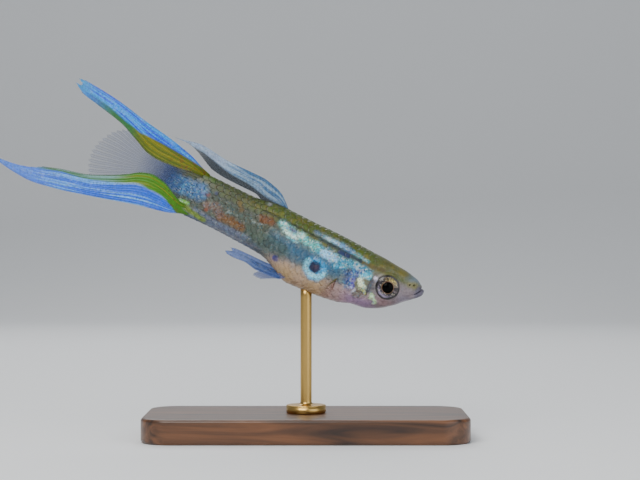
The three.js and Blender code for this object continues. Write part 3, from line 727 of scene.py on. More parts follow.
@dataclass(frozen=True)
class Coat:
    """The fish's colours, which skin and scales share.

    Attributes:
        marks: every marking, from the lowest layer to the top one.
        wander: how far noise moves the borders between back, flank and belly.
        midline: distance to the side over which the markings fade in.
        stalk_end: s from which the markings also cover the middle.
        sheen, flank_sheen, face_sheen: glitter of the ground, of the flank over it, and of the face.
        face_end: s where the face's plain sheen ends.
        mottle: lowest and highest share by which fine noise dims and lights the colours.
    """

    marks: tuple = FLANK_MARKS + STALK_MARKS + SPOT_MARKS + HEAD_MARKS
    wander: float = 0.12
    midline: Span = (0.12, 0.4)
    stalk_end: Span = (24.0, 25.5)
    sheen: float = 0.05
    flank_sheen: float = 0.08
    face_sheen: float = 0.05
    face_end: float = 4.5
    mottle: Span = (0.74, 1.26)

    def paint(self, p: Array) -> tuple[Array, Array]:
        """The colour and the glitter at places on the body.

        Args:
            p: (n, 3) places, in millimetres.
        Returns:
            (n, 3) colours in linear light and (n,) glitter from 0 to 1.
        """
        s, y, h = p[..., 0], p[..., 1], p[..., 2]
        wide = BODY.wide(s)
        up = np.where(h > wide, (h - wide) / (BODY.back(s) - wide), (h - wide) / (wide - BODY.belly(s)))
        up = np.clip(up, -1, 1) + self.wander * (lattice(p, 1.1, 7) - 0.5)
        fine, coarse, dust = lattice(p, 0.35, 5), lattice(p, 1.4, 6), lattice(p, 0.17, 8)
        tint = self.head(self.ground(s, up, fine, coarse, dust), s, h, fine)
        glitter = self.sheen + self.flank_sheen * ramp(up, 0.5, 0.0) * ramp(up, -0.9, -0.3)
        glitter = np.where(s < self.face_end, self.face_sheen, glitter)
        outward = np.maximum(ramp(np.abs(y), *self.midline), ramp(s, *self.stalk_end))
        for mark in self.marks:
            amount = mark.mask(p, 0.45 * fine + 0.25 * coarse + 0.3 * dust) * outward
            tint = blend(tint, mark.tint, amount)
            glitter = glitter + (mark.glitter - glitter) * amount
        low, high = self.mottle
        mottle = low + (high - low) * (0.5 * fine + 0.5 * dust)
        return np.clip(tint * mottle[..., None], 0, 1), np.clip(glitter, 0, 1)

    @staticmethod
    def ground(s: Array, up: Array, fine: Array, coarse: Array, dust: Array) -> Array:
        """The colours under the markings: a grey flank, an olive back and a pink and peach belly.

        Args:
            s: places along the body.
            up: share of the way from the widest line up to the back (1) or down to the belly (-1).
            fine, coarse, dust: noise at three sizes.
        Returns:
            (n, 3) colours.
        """
        back = ramp(up, 0.3, 0.6)
        tint = np.broadcast_to(paint(112, 112, 96), (*s.shape, 3))
        tint = blend(tint, paint(88, 92, 84), ramp(s, 15, 19))
        tint = blend(tint, OLIVE, back)
        tint = blend(tint, paint(84, 88, 72), back * ramp(s, 17, 22) * 0.8)
        tint = blend(tint, KHAKI, ramp(s, 24, 19) * back * ramp(fine, 0.45, 0.75) * 0.5)
        tint = blend(tint, BROWN, back * ramp(dust, 0.55, 0.85) * 0.6)
        tint = blend(tint, OLIVE_DARK, ramp(up, 0.75, 1.0) * (0.35 + 0.35 * coarse))
        tint = blend(tint, PINK, ramp(up, -0.25, -0.62) * ramp(s, 17.5, 14.5))
        peach = ramp(s, 8.5, 10.5) * ramp(s, 17, 14.5) * (0.45 + 0.5 * coarse)
        tint = blend(tint, PEACH, ramp(up, -0.3, -0.6) * peach)
        return blend(tint, paint(100, 106, 122), ramp(up, -0.45, -0.8) * ramp(s, 16, 19))

    @staticmethod
    def head(tint: Array, s: Array, h: Array, fine: Array) -> Array:
        """The head's own ground: olive crown, grey snout and lips, rosy cheek and throat.

        Args:
            tint: (n, 3) colours under it.
            s, h: places on the body.
            fine: fine noise.
        Returns:
            (n, 3) colours.
        """
        layers = (
            (paint(104, 102, 76), 0.8 * ramp(s, 6.5, 4.5) * ramp(h, -0.2, 0.5)),
            (paint(142, 134, 138), ramp(s, 6.0, 4.2) * ramp(h, 0.1, -0.7)),
            (paint(166, 146, 148), 0.8 * bell(s - 3.4, 1.0) * bell(h + 2.7, 0.6)),
            (paint(124, 134, 142), ramp(s, 2.6, 0.9) * ramp(h, -0.1, 0.5)),
            (paint(156, 150, 160), ramp(s, 2.6, 1.4) * ramp(h, -1.0, -1.7)),
            (paint(108, 104, 116), ramp(s, 0.95, 0.5) * ramp(h, 0.4, 0.1)),
            (paint(162, 146, 170), 0.85 * ramp(h, -2.8, -3.6) * ramp(s, 3.6, 5.0) * ramp(s, 8.5, 6.5)),
            (paint(120, 112, 70), 0.45 * ramp(fine, 0.5, 0.8) * ramp(s, 9, 6) * ramp(h, -0.2, 0.6)),
        )
        for over, amount in layers:
            tint = blend(tint, over, amount)
        return tint


COAT = Coat()


@dataclass
class Skin:
    """The whole body's skin, in one piece from the lips to the tail fin.

    Attributes:
        around: points round each ring.
        snout_end, head_end: s to which the rings are closest together, and close together.
        snout_rings, head_rings, rest_rings: rings on each stretch.
        unwrap_length: s that fills the map's width.
        lip_gap_shade, seam_run: how dark the painted shade in the line between the lips is, and where it
            fades along s.
    """

    around: int = 224
    snout_end: float = 1.0
    head_end: float = 8.8
    snout_rings: int = 42
    head_rings: int = 131
    rest_rings: int = 131
    unwrap_length: float = 28.0
    lip_gap_shade: float = 0.8
    seam_run: Span = (1.15, 0.85)

    def surface(self) -> Surface:
        """Rings of the skin at s and round the turn, closed by a fan at the snout and at the tail."""
        nose = BODY.nose + (self.snout_end - BODY.nose) * np.linspace(0.02, 1, self.snout_rings) ** 2
        head = np.linspace(self.snout_end, self.head_end, self.head_rings + 1)[1:]
        rest = np.linspace(self.head_end, STANDARD_LENGTH, self.rest_rings + 1)[1:]
        turn = np.linspace(0, 2 * math.pi, self.around, endpoint=False)
        grid_s, grid_t = np.meshgrid(np.concatenate([nose, head, rest]), turn, indexing="ij")
        points, quads, triangles = capped(BODY.skin(grid_s, grid_t))
        smooth = np.concatenate([BODY.plain(grid_s, grid_t).reshape(-1, 3), points[-2:]])
        tint, glitter = COAT.paint(smooth)
        # Painted shade: the line between the lips is darkened to near black
        tint = blend(tint, paint(44, 34, 38), self.seam(smooth))
        u = np.concatenate([grid_s.ravel(), [0.0, STANDARD_LENGTH]]) / self.unwrap_length
        v = np.concatenate([(np.abs(grid_t / math.pi - 1)).ravel(), [0.5, 0.5]])
        return Surface(points, quads, unwrap(u, v), {"Tint": tint, "Glitter": glitter}, triangles)

    def seam(self, p: Array) -> Array:
        """How dark the painted shade in the line between the lips is at each place."""
        line = bell(HEAD.over_mouth(p), HEAD.mouth_line.wide) * ramp(np.abs(p[..., 1]), *HEAD.mouth_end)
        return self.lip_gap_shade * ramp(p[..., 0], *self.seam_run) * line


class Lay:
    """Places on the body by their share of the way round a section, from the back over the right side.

    The shares are read from a table of turns, made once from the length of each section's outline.
    """

    sections = 160
    shares = 241
    outline_steps = 721

    def __init__(self) -> None:
        """Makes the table of turns, by section and share."""
        self.s = np.linspace(4, STANDARD_LENGTH, self.sections)
        self.f = np.linspace(0, 1, self.shares)
        turn = math.pi / 2 + np.linspace(0, 2 * math.pi, self.outline_steps)
        outlines = BODY.plain(self.s[:, None], turn)
        steps = np.linalg.norm(np.diff(outlines, axis=1), axis=-1)
        runs = np.concatenate([np.zeros((self.sections, 1)), np.cumsum(steps, axis=1)], axis=1)
        self.table = np.stack([np.interp(self.f, run / run[-1], turn) for run in runs])

    def turn(self, s: Array, f: Array) -> Array:
        """The turn at s for a share f, read from the table by straight steps both ways."""
        s, f = np.broadcast_arrays(s, f)
        whole = np.floor(f)
        x = np.clip((s - self.s[0]) / (self.s[1] - self.s[0]), 0, self.sections - 1.001)
        z = (f - whole) * (self.shares - 1)
        i, j = x.astype(int), np.minimum(z.astype(int), self.shares - 2)
        tx, tz = x - i, z - j
        low = self.table[i, j] * (1 - tz) + self.table[i, j + 1] * tz
        high = self.table[i + 1, j] * (1 - tz) + self.table[i + 1, j + 1] * tz
        return low * (1 - tx) + high * tx + whole * 2 * math.pi

    def place(self, s: Array, f: Array) -> Array:
        """Places on the smooth surface."""
        return BODY.plain(s, self.turn(s, f))

    def frame(self, s: Array, f: Array) -> tuple[Array, Array]:
        """Places on the smooth surface and its outward normals there."""
        turned = self.turn(s, f)
        return BODY.plain(s, turned), BODY.normal(s, turned)


@dataclass
class Scales:
    """The scales: thin overlapping plates in staggered rows, each rooted in the skin and free at the back.

    Attributes:
        rows: rows round the body.
        pitch: distance between the scales of a row.
        along, across: points of a plate along p, from its root to its tip, and across q, from -1 to 1.
        first, run: s of the first scale, and the length that the rows fill.
        stray, stray_round: how far scales stand off their places, along s and as a share of the way round.
        nape, nape_drop, nape_run: where the scales start on the back, and how far ahead of it lower down.
        gill_gap: how far behind the gill cover they start.
        last, last_stray: s where they end, and how far it strays.
        length, breadth: of a plate, in pitches and in rows.
        stray_length, stray_lift, stray_tone: how far plates differ.
        tip_cut, taper: how round the tip is, and how much the plate narrows towards it.
        root_at: how far ahead of its place a plate starts, in lengths.
        depth, rise, arch, thickness: how deep the root lies, how far the tip and the middle rise over it.
        own_share: how far a plate has one colour all over.
        edge_run: p over which the dark edge sets in.
        lane_width, wing_width: size of a plate in the map.
    """

    rows: int = 20
    pitch: float = 0.7
    along: int = 7
    across: int = 8
    seed: int = SEED
    first: float = 4.7
    run: float = 22.6
    stray: float = 0.03
    stray_round: float = 0.0015
    nape: float = 4.9
    nape_drop: float = 1.3
    nape_run: Span = (1.4, 0.5)
    back_from: float = 0.4
    gill_gap: float = 0.05
    last: float = 26.2
    last_stray: float = 0.5
    length: float = 1.52
    breadth: float = 1.22
    stray_length: float = 0.03
    stray_lift: float = 0.003
    stray_tone: float = 0.09
    shimmer: Span = (0.55, 1.25)
    tip_cut: float = 0.34
    taper: float = 0.12
    root_at: float = 0.45
    depth: float = 0.09
    rise: float = 0.05
    arch: float = 0.012
    thickness: float = 0.018
    own_share: float = 0.1
    edge_run: Span = (0.7, 1.0)
    lane_width: float = 0.003
    wing_width: float = 0.0015

    def surface(self) -> Surface:
        """Every plate, as a grid over (p, q) laid on the body by s and the share of the way round.

        s = place + length (p tip - root_at), with tip = 1 - tip_cut q^2, and share = place + width q / 2.
        """
        rng = np.random.default_rng(self.seed)
        lay = Lay()
        s, f, middle = self.places(rng, lay)
        count, size = len(s), self.along * self.across
        log.info("%d scales", count)
        p = np.linspace(0, 1, self.along)[None, :, None]
        q = np.linspace(-1, 1, self.across)[None, None, :]
        top, bottom, smooth = self.plates(rng, lay, s, f, p, q)
        points = self.both_faces(bottom, top).reshape(-1, 3)
        first_point = (np.arange(count) * 2 * size)[:, None, None]
        quads = (slab_quads(self.along, self.across)[None] + first_point).reshape(-1, 4)
        paint_on = self.colours(rng, self.both_faces(smooth, smooth).reshape(-1, 3), middle, p + 0 * q)
        root_v = np.abs(2 * (lay.turn(s, f) / (2 * math.pi) % 1.0) - 1)
        root = unwrap(s / Skin.unwrap_length, root_v)
        u = root[:, 0, None, None] + self.lane_width * (p - 0.5) + 0 * q
        v = root[:, 1, None, None] + self.wing_width * q + 0 * p
        uv = np.stack([self.both_faces(u, u).ravel(), self.both_faces(v, v).ravel()], axis=1)
        return Surface(points, quads, np.clip(uv, 0, 1), paint_on)

    def places(self, rng: np.random.Generator, lay: Lay) -> tuple[Array, Array, Array]:
        """Where the scales stand: staggered rows, kept from the nape and the gill cover to the tail fin.

        Returns:
            s, the share of the way round and the place on the body, for each scale.
        """
        row, column = np.arange(self.rows), np.arange(int(self.run / self.pitch))
        grid_r, grid_c = np.meshgrid(row, column, indexing="ij")
        s = self.first + self.pitch * (grid_c + 0.5 * (grid_r % 2)) + rng.normal(0, self.stray, grid_c.shape)
        f = grid_r / self.rows + rng.normal(0, self.stray_round, grid_c.shape)
        s, f = s.ravel(), f.ravel()
        middle = lay.place(s, f)
        h = middle[:, 2]
        nape = self.nape + self.nape_drop * ramp(h, *self.nape_run)
        start = np.where(h > self.back_from, nape, HEAD.gill_edge(h) + self.gill_gap)
        keep = (s > start) & (s < self.last + rng.uniform(-self.last_stray, self.last_stray, s.shape))
        return s[keep], f[keep], middle[keep]

    def plates(self, rng: np.random.Generator, lay: Lay, s: Array, f: Array, p: Array,
               q: Array) -> tuple[Array, Array, Array]:
        """The upper and lower faces of all plates, and the smooth surface under them.

        Returns:
            (count, along, across, 3) places for each.
        """
        count = len(s)
        tip = 1 - self.tip_cut * q**2
        length = self.pitch * (self.length + rng.normal(0, self.stray_length, count))[:, None, None]
        width = (self.breadth / self.rows) * np.sqrt(1 - self.taper * p**2)
        at_s = s[:, None, None] + length * (p * tip - self.root_at)
        at_s = np.minimum(at_s, STANDARD_LENGTH - 0.02)
        smooth, normal = lay.frame(at_s, f[:, None, None] + 0.5 * width * q)
        lift = self.rise * p - self.depth + self.arch * (1 - q**2)
        lift = lift + rng.normal(0, self.stray_lift, count)[:, None, None]
        top = smooth + normal * lift[..., None]
        bottom = smooth + normal * (lift - self.thickness)[..., None]
        return top, bottom, smooth

    def both_faces(self, bottom: Array, top: Array) -> Array:
        """The points of each plate's lower face, followed by those of its upper one."""
        size = self.along * self.across
        faces = [face.reshape(len(face), size, -1) for face in (bottom, top)]
        return np.stack(faces, axis=1)

    def colours(self, rng: np.random.Generator, smooth: Array, middle: Array, p: Array) -> dict[str, Array]:
        """The coat's colours with a tone and a shimmer for each plate, and a dark edge at its free end.

        Args:
            rng: the source of the plates' tones.
            smooth: places of all points.
            middle: the place of each plate.
            p: (1, along, across) shares from the root to the tip.
        Returns:
            The values painted on the mesh.
        """
        count, size = len(middle), self.along * self.across
        tint, glitter = COAT.paint(smooth)
        own_tint, own_glitter = COAT.paint(middle)
        spread = np.repeat(np.arange(count), 2 * size)
        tint = tint * (1 - self.own_share) + own_tint[spread] * self.own_share
        tint *= (1 + rng.normal(0, self.stray_tone, count))[spread, None]
        glitter = glitter * (1 - self.own_share) + own_glitter[spread] * self.own_share
        glitter = np.clip(glitter * rng.uniform(*self.shimmer, count)[spread], 0, 1)
        edge = np.tile(ramp(p, *self.edge_run).ravel(), 2 * count)
        over_wide = smooth[:, 2] - BODY.wide(smooth[:, 0])
        dark = 0.14 + 0.28 * ramp(over_wide, 0.0, 1.8) + 0.2 * ramp(smooth[:, 0], 16, 20)
        tint = tint * (1 - edge * dark * (1 - 0.6 * glitter))[:, None]
        return {"Tint": np.clip(tint, 0, 1), "Glitter": glitter}


# Fins


@dataclass
class Fin:
    """A thin fin with rays, drawn over u across its rays and v out along them.

    Attributes:
        name: the piece's name.
        node: the solid it stands for.
        slot: the slot of its material; not used.
        rays: rays at the root; each forks once on its way out.
        place: (u, v) to (s, y, h).
        tint: (u, v, p) to colours, cover and glitter, where cover is 1 for what can't be seen through.
        steps, across: points along each ray, and from ray to ray.
        web, ray, root: half thickness of the web, of a ray over it, and of the thick root.
        fork, fork_run: v where the rays start to fork, and how long it takes.
        crest, branch: half width of a ray, and of each branch of a forked one, as shares of their spacing.
        joint: depth of the fine joints across the rays.
        scallop: how far the web is let in between the rays' ends.
        shoulder: extra half thickness at the root, which falls off along s by a bell shoulder_run wide.
    """

    name: str
    node: str
    slot: str
    rays: int
    place: Place
    tint: Callable[[Array, Array, Array], Painted]
    steps: int = 90
    across: int = 7
    web: float = 0.035
    ray: float = 0.05
    root: float = 0.1
    fork: float = 0.42
    fork_run: float = 0.25
    crest: float = 0.42
    branch: float = 0.62
    joint: float = 0.14
    scallop: float = 0.012
    shoulder: float = 0.0
    shoulder_run: float = 2.6

    def ridge(self, u: Array, v: Array) -> Array:
        """Height of the rays, 0 to 1, from the distance to the nearest one: one crest each, then two."""
        place = u * (self.rays - 1)
        off = np.abs(place - np.round(place)) * 2
        single = np.clip(1 - off / self.crest, 0, 1)
        double = np.clip(1 - np.abs(off - self.crest) / self.crest / self.branch, 0, 1)
        forked = ramp(v, self.fork, self.fork + self.fork_run)
        return single * (1 - forked) + double * forked

    def half_thickness(self, v: Array, crest: Array, mid: Array) -> Array:
        """Half the thickness: web and rays, thinner by v^3 towards the tips, and the root's exp(-16 v)."""
        jointed = 1 - self.joint * (np.sin(v * self.steps * 2.1) > 0.6) * ramp(v, 0.2, 0.4)
        half = (self.web + self.ray * crest * jointed) * (1 - 0.75 * v**3) + self.root * np.exp(-16 * v)
        return half + self.shoulder * bell(mid[..., 0] - mid[..., 0].min(), self.shoulder_run)

    def surface(self) -> Surface:
        """Both faces of the fin and its rim: the middle plus and less its normal times half the thickness."""
        us = np.linspace(0, 1, self.across * (self.rays - 1) + 1)
        vs = np.linspace(0, 1, self.steps)
        u, v = np.meshgrid(us, vs, indexing="ij")
        run = v * (1 - self.scallop * np.abs(np.sin(math.pi * u * (self.rays - 1))))
        mid = self.place(u, run)
        e = 1e-3
        over_u = self.place(np.clip(u + e, 0, 1), run) - self.place(np.clip(u - e, 0, 1), run)
        over_v = self.place(u, run + e) - self.place(u, run - e)
        normal = np.cross(over_u, over_v)
        normal /= np.maximum(np.linalg.norm(normal, axis=-1, keepdims=True), 1e-12)
        crest = self.ridge(u, v)
        lift = normal * self.half_thickness(v, crest, mid)[..., None]
        points = np.concatenate([(mid - lift).reshape(-1, 3), (mid + lift).reshape(-1, 3)])
        u, v, crest = u.ravel(), v.ravel(), crest.ravel()
        tint, cover, glitter = self.tint(u, v, mid.reshape(-1, 3))
        cover = np.clip(cover + (1 - cover) * 0.3 * crest, 0, 1)
        tint = np.clip(tint * (0.8 + 0.36 * crest)[:, None], 0, 1)
        one_side = np.stack([UV_EDGE + 0.47 * u, UV_EDGE + 0.98 * v], axis=1)
        uv = np.concatenate([one_side, one_side + [0.51, 0.0]])
        painted = {"Tint": np.tile(tint, (2, 1)), "Cover": np.tile(cover, 2), "Glitter": np.tile(glitter, 2)}
        return Surface(points, slab_quads(len(us), len(vs)), uv, painted)


def sway(s: Array, h: Array) -> Array:
    """The tail fin's sideways bend: the square of the way along, times a shift and a twist by height."""
    t = np.maximum(0, (s - 26) / 22)
    return t * t * (0.5 + 0.16 * h)


def dorsal_lean(s: Array, h: Array) -> Array:
    """The dorsal fin leans to the left by a tenth of its height over its front root."""
    return 0.1 * np.maximum(0, h - float(BODY.back(DORSAL_ROOT)))


def median_fin(low: Curve, top: Curve, root: float, ends: Curve, bend: Place) -> Place:
    """A fin in the middle plane between two edges, whose rays keep their share of the height between them.

    s = root + (ends(u) - root) v and h = low(s) + (top(s) - low(s)) u.

    Args:
        low, top: heights of the edges along s.
        root: s of the root.
        ends: s of each ray's end.
        bend: (s, h) to y.
    Returns:
        The fin's place for (u, v).
    """

    def place(u: Array, v: Array) -> Array:
        s = root + (ends(np.clip(u, 0, 1)) - root) * v
        h = low(s) + (top(s) - low(s)) * u
        return np.stack([s, bend(s, h), h], axis=-1)

    return place


def gonopodium_place(u: Array, v: Array) -> Array:
    """The narrow anal fin, as a median fin whose root slants along the body."""
    start = 13.9 + 1.3 * u
    s = start + (GONO_ENDS(np.clip(u, 0, 1)) - start) * v
    h = GONO_LOW(s) + (GONO_TOP(s) - GONO_LOW(s)) * u
    return np.stack([s, np.zeros_like(s), h], axis=-1)


@dataclass(frozen=True)
class Fan:
    """A pectoral or pelvic fin: a fan of rays in its own plane, which stands off the body's side.

    Attributes:
        start, end: (s, h) of the first and the last ray's root.
        out: y of the root.
        angles: turn of the first and the last ray down from the body's axis, in radians.
        lengths: length of each ray.
        flare: how far the fan opens to the side, in radians.
        tilt, curl: how far it leans out on its way down, and curls in by the square of the way.
    """

    start: tuple[float, float]
    end: tuple[float, float]
    out: float
    angles: tuple[float, float]
    lengths: Curve
    flare: float
    tilt: float
    curl: float = 0.0

    def on(self, side: int) -> Place:
        """Its place for (u, v) on the left (side 1) or the right (side -1)."""

        def place(u: Array, v: Array) -> Array:
            angle = self.angles[0] + (self.angles[1] - self.angles[0]) * u
            run = self.lengths(np.clip(u, 0, 1)) * v
            back, down = run * np.cos(angle), run * np.sin(angle)
            s = self.start[0] + (self.end[0] - self.start[0]) * u + back * math.cos(self.flare)
            h = self.start[1] + (self.end[1] - self.start[1]) * u - down
            y = side * (self.out + back * math.sin(self.flare) + down * self.tilt + self.curl * run * run)
            return np.stack([s, y, h], axis=-1)

        return place


# Edges of the fins, as heights along s, and the ends of their rays, as s by share of the way up
TAIL_ROOT = 25.4
UPPER_TOP = through([
    (25, 2.4), (26.3, 2.85), (28, 3.62), (30.6, 4.4), (34.2, 5.2), (37, 5.93), (38.8, 6.28),
    (42.5, 6.8),
])
UPPER_LOW = through([
    (25, 1.95), (27.4, 2.02), (28.6, 1.86), (31, 1.83), (32.4, 2.08), (34, 2.87), (36.2, 3.9),
    (39.3, 4.75), (41.2, 5.25), (42.5, 5.95),
])
UPPER_ENDS = through([(0, 41.4), (0.2, 42.45), (0.4, 41.9), (0.6, 41.8), (0.8, 42.3), (1, 41.6)])
LOWER_TOP = through([
    (25, -1.45), (27, -1.3), (28, -0.85), (29.6, -0.05), (31, 0.22), (32.2, -0.05), (33.5, -0.78),
    (35.2, -1.62), (37.4, -2.45), (40.2, -3.0), (42.3, -3.55), (44.5, -3.95), (48, -4.28),
])
LOWER_LOW = through([
    (25, -2.15), (26.5, -2.42), (28.2, -2.93), (31.2, -3.4), (36.2, -4.45), (40.2, -5.18),
    (42.7, -5.42), (44.3, -5.27), (48, -4.5),
])
LOWER_ENDS = through([(0, 47.5), (0.25, 47.8), (0.5, 46.95), (0.7, 44.6), (0.85, 43), (1, 42.1)])
WEB_LAP = 0.05
FAN_ENDS = through([(0, 37.5), (0.35, 38.1), (0.7, 37.2), (1, 35.4)])
DORSAL_ROOT = 16.2
DORSAL_TOP = through([
    (16.2, 2.2), (16.8, 2.85), (17.7, 3.62), (18.8, 4.08), (20.2, 4.42), (24, 4.58), (27.7, 5.12),
    (30.6, 4.78),
])
DORSAL_LOW = through([
    (16.2, 1.9), (19, 2.05), (20.3, 2.58), (22, 2.68), (24, 2.84), (26, 3.28), (27.4, 3.8),
    (28.6, 4.28), (30.6, 4.62),
])
DORSAL_ENDS = through([(0, 25.6), (0.3, 27.6), (0.55, 29.4), (0.72, 30.5), (0.86, 29.3), (1, 27.9)])
DORSAL_BAND = through([
    (16, 2.3), (18, 2.45), (19.25, 2.65), (21.25, 3.15), (23.25, 3.4), (24.25, 3.6), (25.75, 4.05),
    (27.25, 4.4), (29.75, 4.6),
])
GONO_LOW = through([
    (13.9, -4.45), (14.6, -4.85), (16.9, -4.88), (18.6, -4.55), (19.6, -4.58), (21, -4.42),
])
GONO_TOP = through([(14.9, -3.7), (16.4, -3.72), (18.4, -3.63), (19.8, -3.6), (21, -3.9)])
GONO_ENDS = through([(0, 20.6), (0.35, 20.9), (0.66, 20.2), (1, 20.5)])

PECTORAL = Fan((8.55, -1.8), (8.8, -2.7), 1.75, (0.88, 1.5),
               through([(0, 3.1), (0.35, 2.85), (0.7, 2.35), (1, 1.8)]), 0.75, 0.18, -0.03)
PELVIC = Fan((13.3, -4.2), (14.3, -4.15), 0.85, (0.42, 0.26),
             through([(0, 3.3), (0.4, 3.7), (1, 2.5)]), 0.16, 0.1)

# How deep the yellow of each sword reaches from its edge, as (s, depth)
UPPER_YELLOW = (
    (25, -0.2), (26.2, -0.1), (27, 0.16), (28, 0.42), (29.5, 0.68), (31, 0.86), (32, 1.02), (34, 1.35),
    (36, 1.3), (42, 0.75),
)
LOWER_YELLOW = (
    (25, 1.4), (27, 1.3), (28.6, 1.2), (30.8, 1.55), (33.2, 1.1), (36, 0.65), (40, 0.3),
)
FAN_COVER = ((27.2, 1.0), (28.8, 0.85), (30.5, 0.5), (33, 0.18), (38, 0.03))


def along(s: Array, points: Sequence[tuple[float, float]]) -> Array:
    """A value that runs by straight steps through (s, value) points."""
    return np.interp(s, *zip(*points))


def streaks(u: Array, s: Array, count: float, seed: int) -> Array:
    """Long soft streaks along a fin, 0 to 1: noise at two sizes, stretched four times along s."""
    p = np.stack([u * count, s * 0.25, np.zeros_like(s)], axis=-1)
    return 0.65 * lattice(p, 1.0, seed) + 0.35 * lattice(p * 2.3, 1.0, seed + 1)


def two_tone(dark: Array, pale: Array, lines: Array, low: float, high: float) -> Array:
    """A dark colour with pale streaks, where the lines rise from low to high."""
    return blend(np.broadcast_to(dark, (*lines.shape, 3)), pale, ramp(lines, low, high))


def paint_upper(u: Array, v: Array, p: Array) -> Painted:
    """Upper sword: sky blue along the outer edge, olive yellow inside it near the root, cyan at the tip."""
    s, h = p[:, 0], p[:, 2]
    lines = streaks(u, s, 15, 31)
    blue = two_tone(paint(34, 100, 206), paint(96, 168, 246), lines, 0.38, 0.66)
    yellow = two_tone(paint(104, 116, 2), paint(138, 138, 8), lines, 0.4, 0.7)
    rust = 0.5 * ramp(lattice(p, 0.25, 33), 0.62, 0.8) * ramp(s, 31, 28)
    yellow = blend(yellow, paint(128, 82, 10), rust)
    yellow = blend(yellow, paint(84, 124, 88), ramp(s, 33.4, 35.5))
    depth = UPPER_TOP(s) - h
    inner = ramp(depth + 0.16 * (lines - 0.5) - along(s, UPPER_YELLOW), -0.1, 0.12) * ramp(s, 42, 37)
    tint = blend(blend(blue, yellow, inner), paint(88, 164, 206), ramp(s, 39.5, 42) * 0.8)
    edge = ramp(np.minimum(depth, h - UPPER_LOW(s)), 0.02, 0.2)
    cover = (1.0 - 0.2 * ramp(s, 38, 42.3)) * (0.6 + 0.4 * edge)
    return tint, np.maximum(cover, ramp(s, 27.5, 26)), 0.2 * lines * (1 - inner)


def paint_lower(u: Array, v: Array, p: Array) -> Painted:
    """Lower sword: lavender blue with pale streaks, yellow along the inner edge, pale green further out."""
    s, h = p[:, 0], p[:, 2]
    lines = streaks(u, s, 17, 41)
    blue = two_tone(paint(52, 116, 208), paint(140, 184, 236), lines, 0.4, 0.68)
    blue = blend(blue, paint(118, 146, 216), ramp(s, 38, 45) * 0.8)
    yellow = two_tone(paint(104, 142, 4), paint(140, 150, 10), lines, 0.42, 0.72)
    rust = 0.85 * bell(s - 28.1, 1.0) * ramp(0.5 * lines + 0.5 * lattice(p, 0.25, 43), 0.5, 0.62)
    yellow = blend(yellow, paint(112, 52, 18), rust)
    depth = LOWER_TOP(s) - h
    reach = along(s, LOWER_YELLOW)
    inner = ramp(depth + 0.2 * (lines - 0.5) - reach, 0.1, -0.1)
    seam = bell(depth - reach, 0.14) * ramp(s, 28, 29.5) * ramp(s, 35, 33)
    blue = blend(blue, paint(190, 206, 214), 0.7 * seam)
    pale = two_tone(paint(92, 128, 92), paint(150, 178, 176), lines, 0.35, 0.7)
    margin = blend(yellow, pale, ramp(s, 32.6, 35.2))
    tint = blend(blue, margin, inner * ramp(s, 44, 41))
    edge = ramp(np.minimum(depth, h - LOWER_LOW(s)), 0.02, 0.2)
    cover = (1.0 - 0.25 * ramp(s, 36, 42) * inner - 0.15 * ramp(s, 44, 47.5)) * (0.6 + 0.4 * edge)
    return tint, np.maximum(cover, ramp(s, 27.5, 26)), 0.25 * lines * (1 - inner)


def paint_fan(u: Array, v: Array, p: Array) -> Painted:
    """Web between the swords: the body's own colours at the root, then clear between fine blue rays."""
    s = p[:, 0]
    coat, shine = COAT.paint(p)
    far = ramp(s, 27.2, 30)
    return blend(coat, paint(44, 70, 116), far), along(s, FAN_COVER), shine * (1 - far)


def paint_dorsal(u: Array, v: Array, p: Array) -> Painted:
    """Dorsal fin: a whitish-blue band with fine cross bars in front, and a clear, smoky web behind."""
    s, h = p[:, 0], p[:, 2]
    lines = streaks(u, s, 9, 51)
    band = ramp(h - DORSAL_BAND(s), -0.1, 0.22)
    bars = 0.5 + 0.5 * np.sin((s - 0.35 * h) * 17)
    pale = two_tone(paint(104, 134, 168), paint(176, 194, 212), lines, 0.4, 0.7)
    pale = blend(pale, paint(188, 198, 214), 0.7 * ramp(s, 22.5, 25))
    pale = pale * (1 - 0.3 * bars * ramp(s, 16.5, 18) * ramp(s, 24, 21))[:, None]
    rays = 0.5 + 0.5 * np.cos(2 * math.pi * u * 24)
    smoke = blend(even(paint(56, 70, 80), p), paint(18, 32, 44), rays)
    cover = (0.5 + 0.4 * rays) * (1 - 0.5 * ramp(s, 25, 29)) * (1 - band) + 0.9 * band
    return blend(smoke, pale, band), np.minimum(cover, 0.92), 0.15 * band


def paint_small(u: Array, v: Array, p: Array) -> Painted:
    """Gonopodium: lavender blue, paler along the rays."""
    tint = two_tone(paint(76, 100, 148), paint(124, 140, 182), streaks(u, p[:, 0], 7, 61), 0.35, 0.7)
    return tint, 0.86 - 0.25 * v, 0.1 + 0 * v


def paint_pelvic(u: Array, v: Array, p: Array) -> Painted:
    """Pelvic fins: nearly clear lavender."""
    return even(paint(96, 112, 156), p), 0.38 - 0.2 * v, 0 * v


def paint_pectoral(u: Array, v: Array, p: Array) -> Painted:
    """Pectoral fins: clear, with an olive leading edge, a bright spot at its root and a rosy web."""
    lead = ramp(u, 0.2, 0.0)
    tint = blend(even(paint(150, 122, 112), p), paint(104, 104, 52), lead)
    tint = blend(tint, paint(168, 186, 168), bell(v - 0.06, 0.06) * lead)
    return tint, np.clip(0.08 + 0.42 * ramp(v, 0.8, 0.1) + 0.5 * lead * ramp(v, 0.8, 0.3), 0, 1), 0 * v


